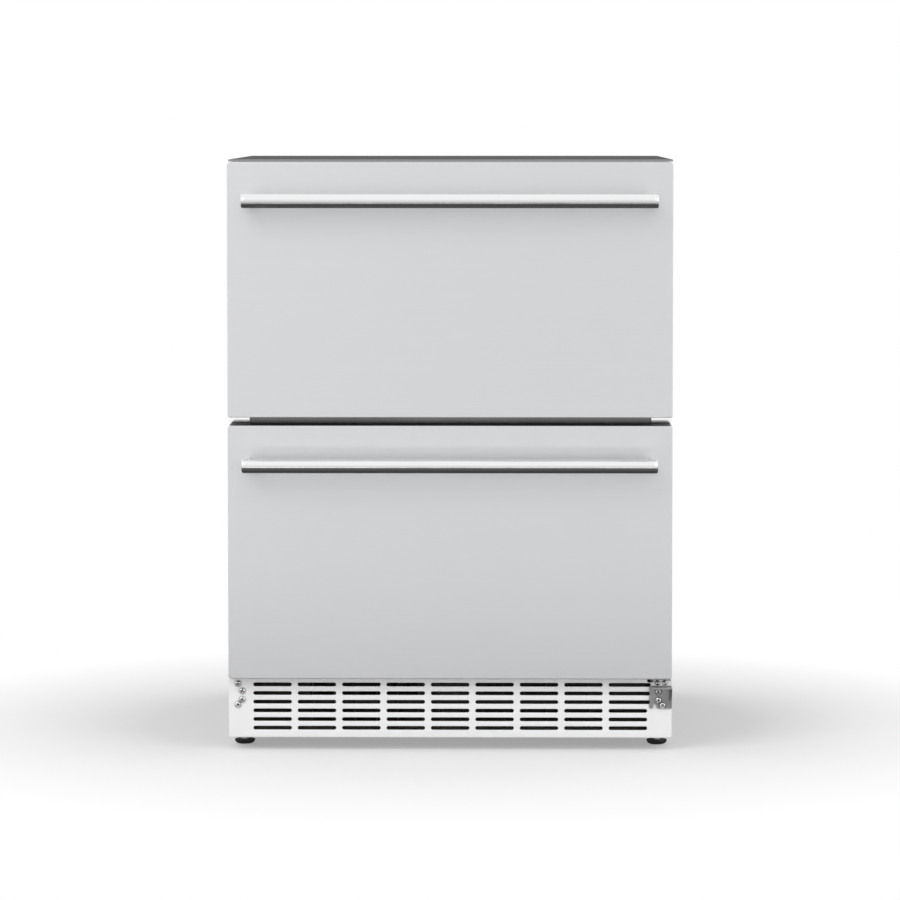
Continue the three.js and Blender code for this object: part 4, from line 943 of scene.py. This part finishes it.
class CabinetShell(PieceOperator, bpy.types.Operator):
    """Build the cabinet's outer sheets, its base and its back"""

    bl_idname = "refrigerator.cabinet_shell"
    bl_label = "Cabinet shell"

    def execute(self, context):
        sheet = settings().edges.sheet
        dress_node("cabinet_wrapper", "cabinet_steel", sheet, slot="stainless")
        dress_node("rear_panel", "galvanised", sheet)
        dress_node("base_pan", "galvanised", sheet)
        self.add_beads()
        self.add_back_screws()
        self.add_machine_cover()
        return {"FINISHED"}

    def add_beads(self):
        """Low rounded beads with tapered ends, pressed into the rear panel."""
        low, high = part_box("rear_panel")
        left, right, edge, beads = low.x + 0.06, high.x - 0.06, 0.075, 5
        half_height, proud, taper, sunk, along, round_steps = 0.006, 0.0022, 0.016, 0.0003, 60, 12
        turns = [-1 + 2 * side / round_steps for side in range(round_steps + 1)]
        shape = bmesh.new()
        for bead in range(beads):
            z = low.z + edge + bead * (high.z - low.z - 2 * edge) / (beads - 1)
            rings = []
            for step in range(along + 1):
                x = left + (right - left) * step / along
                rise = proud * math.sin(math.pi / 2 * min(1.0, (x - left) / taper, (right - x) / taper))
                ring = [(rise * math.cos(math.pi / 2 * turn), half_height * turn) for turn in turns]
                ring += [(-sunk, level) for out, level in reversed(ring)]
                rings.append([shape.verts.new((x, high.y + out, z + level)) for out, level in ring])
            loft(shape, rings)
        place_shape("rear_panel_beads", shape, "galvanised", math.radians(70))

    def add_back_screws(self):
        """Screws along the upright edges of the rear panel and the machine cover."""
        mesh = cross_screw_mesh(0.0036, 0.002, 0.0016, 0.006)
        low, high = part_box("rear_panel")
        middle, edge = (high.z + low.z) / 2, 0.02
        rows = [high.z - edge, middle + 0.13, middle - 0.13, low.z + edge, low.z - edge]
        rows.append(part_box("rear_machine_cover")[0].z + edge)
        for index, z in enumerate(rows):
            for side, x in (("left", low.x + 0.014), ("right", high.x - 0.014)):
                placing = {"location": (x, high.y, z), "rotation_euler": (0, 0, math.pi)}
                place_piece(f"back_screw_{side}_{index + 1}", mesh.copy(), "screw_steel", **placing)

    def add_machine_cover(self):
        """Finish of the machine compartment's cover, with a pressed hood over each louvre."""
        refinish_node("rear_machine_cover", "galvanised")
        low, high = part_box("rear_machine_cover")
        shape = bmesh.new()
        columns, rows, pitch_x, pitch_z, top = 6, 4, 0.072, 0.016, high.z - 0.035
        for column in range(columns):
            for row in range(rows):
                x = (column - (columns - 1) / 2) * pitch_x
                self.add_hood(shape, x, high.y, top - row * pitch_z)
        place_shape("louvre_hoods", shape, "galvanised")

    def add_hood(self, shape, x, y, z):
        """Half-round hood that opens downwards over one louvre."""
        half, drop, proud, sheet, steps = 0.028, 0.006, 0.002, 0.0004, 8
        rings = []
        for step in range(steps + 1):
            place = -1 + 2 * step / steps
            depth = max(proud * math.sqrt(max(0.0, 1 - place**4)), 0.0001)
            ring = []
            for thin in (0.0, sheet):
                reach = max(depth - thin, 0.00005)
                side = [(0.0, 0.0015 - thin), (reach * 0.7, 0.0005 - thin)]
                side += [(reach, -0.0015), (reach, -drop)]
                ring += reversed(side) if thin else side
            rings.append([shape.verts.new((x + half * place, y + out, z + up)) for out, up in ring])
        loft(shape, rings)


class CabinetInterior(PieceOperator, bpy.types.Operator):
    """Build the liner, the foam and the mullion rail"""

    bl_idname = "refrigerator.cabinet_interior"
    bl_label = "Liner, foam and mullion"

    def execute(self, context):
        edges = settings().edges
        dress_node("inner_liner", "liner_plastic", edges.moulding)
        dress_node("mullion_rail", "mullion_metal", edges.sheet, slot="gloss_black")
        refinish_node("insulation_foam", "foam")
        return {"FINISHED"}


class ToeGrille(PieceOperator, bpy.types.Operator):
    """Build the slotted toe grille"""

    bl_idname = "refrigerator.toe_grille"
    bl_label = "Toe grille"

    def execute(self, context):
        grille = settings().grille
        low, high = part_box("toe_grille")
        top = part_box("lower_front_skin")[0].z - grille.top_drop
        holes = []
        for column in range(grille.columns):
            for row in range(grille.rows):
                longer = grille.behind_bracket if column == grille.columns - 1 and row < 3 else 0.0
                x = (column - (grille.columns - 1) / 2) * grille.pitch_x + longer / 2
                size = (grille.slot_length + longer, grille.slot_height, grille.slot_height / 2)
                holes.append((x, top - row * grille.pitch_z, *size))
        holes.append(((low.x + high.x) / 2 + grille.window_x, grille.window_z, 0.0078, 0.0046, 0.0008))
        shape = bmesh.new()
        corner, fold, rim = 0.003, 0.0012, grille.rim
        folded_tray(shape, "toe_grille", corner, 6, grille.sheet, fold, holes, rim, grille.slot_steps)
        placing = {"slot": "stainless", "replaces": ("toe_grille",), "even": True}
        place_shape("toe_grille_sheet", shape, "grille_steel", **placing)
        return {"FINISHED"}


class HingeHardware(PieceOperator, bpy.types.Operator):
    """Build the hinge bracket and the cross-head screws on the grille"""

    bl_idname = "refrigerator.hinge_hardware"
    bl_label = "Hinge bracket and screws"

    def execute(self, context):
        dress_node("hinge_bracket", "bracket_steel", settings().edges.sheet)
        nodes = [f"hinge_hole_screw_{index}" for index in range(1, 5)]
        nodes += [f"bracket_screw_{index}" for index in range(1, 4)]
        low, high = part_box(nodes[0])
        height, slant = 0.0026, 23
        mesh = cross_screw_mesh((high.x - low.x) / 2, height, 0.0019, high.y - low.y - height)
        for index, node in enumerate(nodes):
            low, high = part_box(node)
            place = ((low.x + high.x) / 2, low.y + height, (low.z + high.z) / 2)
            placing = {"location": place, "rotation_euler": (0, math.radians(slant * index), 0)}
            place_piece(node + "_head", mesh.copy(), "screw_steel", replaces=(node,), **placing)
        self.add_leaf_rivets()
        return {"FINISHED"}

    def add_leaf_rivets(self):
        """Two hollow rivets on the grille above the bracket's leaf."""
        shape = bmesh.new()
        profile = [(0.0, 0.0005), (0.0009, 0.0005), (0.0009, -0.0012), (0.0012, -0.0018)]
        profile += [(0.0019, -0.0021), (0.0027, -0.0016), (0.0032, -0.0007), (0.0033, 0.0)]
        profile += [(0.0015, 0.0), (0.0015, 0.0014), (0.0, 0.0014)]
        turn_profile(shape, profile, "y", 32)
        mesh = shape_mesh("leaf_rivet", shape)
        face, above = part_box("toe_grille")[0].y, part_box("hinge_bracket")[1].z + 0.0048
        for index, x in enumerate((0.2903, 0.2803)):
            placing = {"location": (x, face, above)}
            place_piece(f"leaf_rivet_{index + 1}", mesh.copy(), "screw_steel", **placing)


class LevellingFeet(PieceOperator, bpy.types.Operator):
    """Build the four levelling feet"""

    bl_idname = "refrigerator.levelling_feet"
    bl_label = "Levelling feet"

    def execute(self, context):
        sizes = settings().feet
        for place in ("front_left", "front_right", "rear_left", "rear_right"):
            node = "foot_" + place
            placing = {"body": place + "_foot", "replaces": (node,), "even": True}
            foot = place_shape(node + "_turned", levelling_foot(node, sizes), "foot_rubber", **placing)
            foot.data.materials.append(finish_named("grille_steel"))
            low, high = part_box(node)
            axis = ((low + high) / 2).xy
            for face in foot.data.polygons:  # nut and stem are metal
                near_axis = (face.center.xy - axis).length < 0.0072
                if near_axis and face.center.z > sizes.pad_height - 0.0004:
                    face.material_index = 1
        return {"FINISHED"}


class DrawerFronts(PieceOperator, bpy.types.Operator):
    """Build the stainless skins, the bodies and the gaskets of both drawer fronts"""

    bl_idname = "refrigerator.drawer_fronts"
    bl_label = "Drawer fronts"

    def execute(self, context):
        sizes, edges = settings().fronts, settings().edges
        for name in ("upper", "lower"):
            body, skin, gasket = name + "_drawer", name + "_front_skin", name + "_gasket"
            shape = bmesh.new()
            folded_tray(shape, skin, sizes.corner, sizes.corner_steps, sizes.skin, edges.fold)
            place_shape(skin + "_sheet", shape, "stainless", body=body, replaces=(skin,), even=True)
            dress_node(name + "_front_body", "black_plastic", edges.moulding, body)
            shape = bmesh.new()
            swept_gasket(shape, gasket, sizes.corner_steps)
            placing = {"body": body, "replaces": (gasket,)}
            place_shape(gasket + "_bellows", shape, "gasket_rubber", math.radians(60), **placing)
        return {"FINISHED"}


class Handles(PieceOperator, bpy.types.Operator):
    """Build the handle bars and their posts"""

    bl_idname = "refrigerator.handles"
    bl_label = "Handles"

    def execute(self, context):
        sizes = settings().handles
        for name in ("upper", "lower"):
            bar = name + "_handle_bar"
            shapes = {bar: handle_bar(bar, sizes)}
            for side in ("left", "right"):
                post = f"{name}_handle_post_{side}"
                shapes[post] = handle_post(post, bar, sizes)
            for node, shape in shapes.items():
                placing = {"body": name + "_drawer", "replaces": (node,), "even": True}
                place_shape(node + "_turned", shape, "handle_steel", **placing)
        return {"FINISHED"}


class DrawerBins(PieceOperator, bpy.types.Operator):
    """Build the drawer bins"""

    bl_idname = "refrigerator.drawer_bins"
    bl_label = "Drawer bins"

    def execute(self, context):
        for name in ("upper", "lower"):
            dress_node(name + "_bin", "bin_plastic", settings().edges.moulding, name + "_drawer")
            self.add_floor_ribs(name)
        return {"FINISHED"}

    def add_floor_ribs(self, name):
        """Low ribs moulded along the floor of a bin."""
        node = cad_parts[name + "_bin"]
        low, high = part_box(name + "_bin")
        solid = bmesh.new()
        solid.from_mesh(node.data)
        solid.transform(node.matrix_world)
        tree = BVHTree.FromBMesh(solid)
        solid.free()
        shape = bmesh.new()
        half, rise, ribs, pitch, stride, shortest = 0.0012, 0.0012, 17, 0.0265, 0.006, 0.03
        for rib in range(ribs):
            x = (low.x + high.x) / 2 + (rib - (ribs - 1) / 2) * pitch
            runs = []
            y = low.y + 0.012
            while y < high.y - 0.008:
                above, down = Vector((x, y, high.z + 0.01)), Vector((0, 0, -1))
                place, normal, index, distance = tree.ray_cast(above, down)
                level = place.z if place else 0.0
                flat = place and normal.z > 0.99 and level < high.z - 0.02
                goes_on = runs and abs(runs[-1][2] - level) < 1e-4 and y - runs[-1][1] < stride + 1e-4
                if flat and goes_on:
                    runs[-1][1] = y
                elif flat:
                    runs.append([y, y, level])
                y += stride
            for first, last, level in runs:
                if last - first > shortest:
                    ends = (x - half, first, level - 0.0004), (x + half, last, level + rise)
                    add_block(shape, *ends, 0.0008)
        place_shape(name + "_bin_ribs", shape, "bin_plastic", body=name + "_drawer")


class TelescopicSlides(PieceOperator, bpy.types.Operator):
    """Build the telescopic slides"""

    bl_idname = "refrigerator.telescopic_slides"
    bl_label = "Telescopic slides"

    def execute(self, context):
        for name in ("upper", "lower"):
            bodies = {"outer": "cabinet", "mid": name + "_slide_mids", "inner": name + "_drawer"}
            for side in ("left", "right"):
                for member, body in bodies.items():
                    node = f"{name}_slide_{member}_{side}"
                    web_right = (side == "right") != (member == "inner")
                    shape = rolled_channel(node, web_right, settings().slides)
                    placing = {"body": body, "slot": "galvanised", "replaces": (node,)}
                    place_shape(node + "_rolled", shape, "slide_steel", **placing)
        return {"FINISHED"}


class Machinery(PieceOperator, bpy.types.Operator):
    """Finish the compressor, condenser, fan, drain pan and power inlet"""

    bl_idname = "refrigerator.machinery"
    bl_label = "Machinery"

    def execute(self, context):
        sheet = settings().edges.sheet
        dress_node("compressor", "black_paint", sheet)
        for node in ("drain_pan", "condenser_fan_shroud", "power_inlet"):
            dress_node(node, "black_plastic", sheet)
        refinish_node("condenser", "black_paint")
        refinish_node("condenser_fan_blades", "grey_plastic")
        return {"FINISHED"}


class ColdSide(PieceOperator, bpy.types.Operator):
    """Finish the evaporator, its cover and its fan"""

    bl_idname = "refrigerator.cold_side"
    bl_label = "Evaporator and its cover"

    def execute(self, context):
        dress_node("evaporator_cover", "grey_plastic", settings().edges.sheet, slot="liner_plastic")
        refinish_node("evaporator", "coil_metal")
        refinish_node("evaporator_fan_blades", "black_plastic")
        return {"FINISHED"}


class Controls(PieceOperator, bpy.types.Operator):
    """Build the control housing, its buttons with their marks, and the lamp"""

    bl_idname = "refrigerator.controls"
    bl_label = "Controls and lamp"

    def execute(self, context):
        edges = settings().edges
        dress_node("control_housing", "gloss_black", edges.moulding)
        dress_node("led_lamp", "lamp_lens", edges.sheet)
        for use, outlines in self.mark_outlines().items():
            dress_node("button_" + use, "button_plastic", edges.sheet, use + "_button")
            self.add_mark(use, outlines)
        return {"FINISHED"}

    def mark_outlines(self):
        """A bar in an open ring, a minus and a plus."""
        reach, half, outer, inner = 0.0022, 0.00035, 0.0026, 0.002
        arc = [math.radians(40 + 7 * step) for step in range(41)]
        ring = [(outer * math.sin(turn), outer * math.cos(turn)) for turn in arc]
        ring += [(inner * math.sin(turn), inner * math.cos(turn)) for turn in reversed(arc)]
        upright = [(-half, 0.0001), (half, 0.0001), (half, 0.0023), (-half, 0.0023)]
        minus = [(-reach, -half), (reach, -half), (reach, half), (-reach, half)]
        return {"power": [ring, upright], "colder": [minus], "warmer": [plus_outline(reach, half)]}

    def add_mark(self, use, outlines):
        """Flat mark on a button's face."""
        low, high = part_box("button_" + use)
        centre, thin = (low + high) / 2, 0.00012
        shape = bmesh.new()
        for outline in outlines:
            points = [(centre.x + x, centre.z + z) for x, z in outline]
            loft(shape, [add_ring(shape, points, low.y - thin), add_ring(shape, points, low.y + thin)])
        placing = {"body": use + "_button", "slot": "button_plastic"}
        place_shape(f"button_{use}_mark", shape, "button_mark", **placing)


# ---------------------------------------------------------------- stage


def seen_or_mirrored(nodes):
    """One for the rays that show the background: from the camera, off gloss and through glass."""
    path = nodes.add("LightPath")
    shown = nodes.maths("MAXIMUM", path["Is Camera Ray"], path["Is Glossy Ray"])
    return nodes.maths("MAXIMUM", shown, path["Is Transmission Ray"])


def distance_from_object(nodes):
    """Distance on the floor from the middle of the object."""
    flat = nodes.add("VectorMath", {0: nodes.place(), 1: (1, 1, 0)}, operation="MULTIPLY")[0]
    return nodes.add("VectorMath", {0: flat}, operation="LENGTH")["Value"]


def glow(nodes, strength):
    return nodes.add("Emission", {"Color": (1, 1, 1, 1), "Strength": strength})[0]


def pale(nodes, level):
    return nodes.add("BsdfDiffuse", {"Color": (level, level, level, 1)})[0]


def floor_surface(nodes, stage):
    """Pale floor that keeps the object's shadow and turns plain white with distance."""
    fade = (stage.fade_start, stage.fade_end, stage.shadow_lift, 1.0)
    far = nodes.spread(distance_from_object(nodes), *fade)
    shown = nodes.add("MixShader", {0: far, 1: pale(nodes, stage.floor), 2: glow(nodes, 1.0)})[0]
    parts = {0: seen_or_mirrored(nodes), 1: pale(nodes, stage.bounce), 2: shown}
    return nodes.add("MixShader", parts)[0]


def card_surface(nodes, stage):
    """Dark studio card, lighter towards its edge."""
    reach, near = stage.card_radius, stage.card_radius * 0.28
    levels = (near, reach, stage.card, stage.card_edge)
    return glow(nodes, nodes.spread(distance_from_object(nodes), *levels))


def flat_disc(name, radius, height, surface, stage):
    """Disc of the stage with its own material."""
    material = bpy.data.materials.new(name)
    material.use_nodes = True
    material.node_tree.nodes.clear()
    nodes = Nodes(material.node_tree)
    nodes.add("OutputMaterial", {"Surface": surface(nodes, stage)})
    shape = bmesh.new()
    bmesh.ops.create_circle(shape, cap_ends=True, segments=96, radius=radius)
    mesh = bpy.data.meshes.new(name)
    shape.to_mesh(mesh)
    shape.free()
    mesh.materials.append(material)
    disc = bpy.data.objects.new(name, mesh)
    disc.location.z = height
    bpy.context.scene.collection.objects.link(disc)
    return disc


def area_lamp(name, place, target, width, height, energy, shadow=True):
    light = bpy.data.lights.new(name, "AREA")
    light.shape = "RECTANGLE"
    light.size, light.size_y, light.energy, light.use_shadow = width, height, energy, shadow
    lamp = bpy.data.objects.new(name, light)
    lamp.location = place
    lamp.rotation_euler = (Vector(target) - Vector(place)).to_track_quat("-Z", "Y").to_euler()
    lamp.visible_camera = False
    bpy.context.scene.collection.objects.link(lamp)


class Stage(PieceOperator, bpy.types.Operator):
    """Build the floor, the light and the camera"""

    bl_idname = "refrigerator.stage"
    bl_label = "Stage"

    def execute(self, context):
        stage = settings().stage
        flat_disc("floor", stage.floor_radius, -0.0002, floor_surface, stage)
        card = flat_disc("dark_card", stage.card_radius, -0.0001, card_surface, stage)
        card.visible_camera = card.visible_diffuse = card.visible_shadow = False
        card.visible_transmission = False
        self.set_world(context.scene, stage)
        area_lamp("key_lamp", (-2.2, -3.2, 3.0), (0, 0, 0.4), 2.4, 2.0, stage.key)
        area_lamp("fill_lamp", (2.6, -2.6, 1.8), (0, 0, 0.4), 2.0, 2.0, stage.fill)
        area_lamp("low_lamp", (0, -1.4, 0.06), (0, 0, 0.06), 2.6, 0.12, stage.low, False)
        self.add_camera(context.scene, stage)
        context.scene.view_settings.view_transform = "Standard"
        return {"FINISHED"}

    def set_world(self, scene, stage):
        scene.world = bpy.data.worlds.new("studio")
        scene.world.use_nodes = True
        scene.world.node_tree.nodes.clear()
        nodes = Nodes(scene.world.node_tree)
        strength = nodes.spread(seen_or_mirrored(nodes), 0.0, 1.0, stage.world, 1.0)
        light = nodes.add("Background", {"Color": (1, 1, 1, 1), "Strength": strength})[0]
        nodes.add("OutputWorld", {"Surface": light})

    def add_camera(self, scene, stage):
        data = bpy.data.cameras.new("front_view")
        data.lens, data.sensor_width, data.shift_y = stage.lens, 36.0, stage.shift
        data.clip_start, data.clip_end = 0.05, 60.0
        camera = bpy.data.objects.new("front_view", data)
        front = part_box("upper_front_skin")[0].y
        camera.location = (stage.camera_side, front - stage.camera_distance, stage.camera_height)
        turn = math.atan2(stage.camera_side, stage.camera_distance)
        camera.rotation_euler = (math.pi / 2 - stage.pitch, 0.0, turn)
        scene.collection.objects.link(camera)
        scene.camera = camera


# ---------------------------------------------------------------- panel and registration

STEPS = (
    Stage, CabinetShell, CabinetInterior, ToeGrille, HingeHardware, LevellingFeet, DrawerFronts,
    Handles, DrawerBins, TelescopicSlides, Machinery, ColdSide, Controls,
)


class RefrigeratorPanel(bpy.types.Panel):
    """Lists the steps that build the refrigerator"""

    bl_idname = "VIEW3D_PT_drawer_refrigerator"
    bl_label = "Drawer refrigerator"
    bl_space_type = "VIEW_3D"
    bl_region_type = "UI"
    bl_category = "Refrigerator"

    def draw(self, context):
        for step in STEPS:
            self.layout.operator(step.bl_idname)
        for name in RefrigeratorSettings.__annotations__:
            group = getattr(context.scene.drawer_refrigerator, name)
            box = self.layout.box()
            box.label(text=name.capitalize())
            for key in group.__annotations__:
                box.prop(group, key)


SETTING_GROUPS = (
    FinishColours, EdgeSizes, FrontSizes, HandleSizes, GrilleSizes, FootSizes, SlideSizes,
    StageSettings, RefrigeratorSettings,
)


def register():
    for item in (*SETTING_GROUPS, *STEPS, RefrigeratorPanel):
        bpy.utils.register_class(item)
    bpy.types.Scene.drawer_refrigerator = PointerProperty(type=RefrigeratorSettings)


def unregister():
    del bpy.types.Scene.drawer_refrigerator
    for item in reversed((*SETTING_GROUPS, *STEPS, RefrigeratorPanel)):
        bpy.utils.unregister_class(item)


def main():
    register()
    for step in STEPS:
        area, name = step.bl_idname.split(".")
        getattr(getattr(bpy.ops, area), name)()


if __name__ == "__main__":
    main()
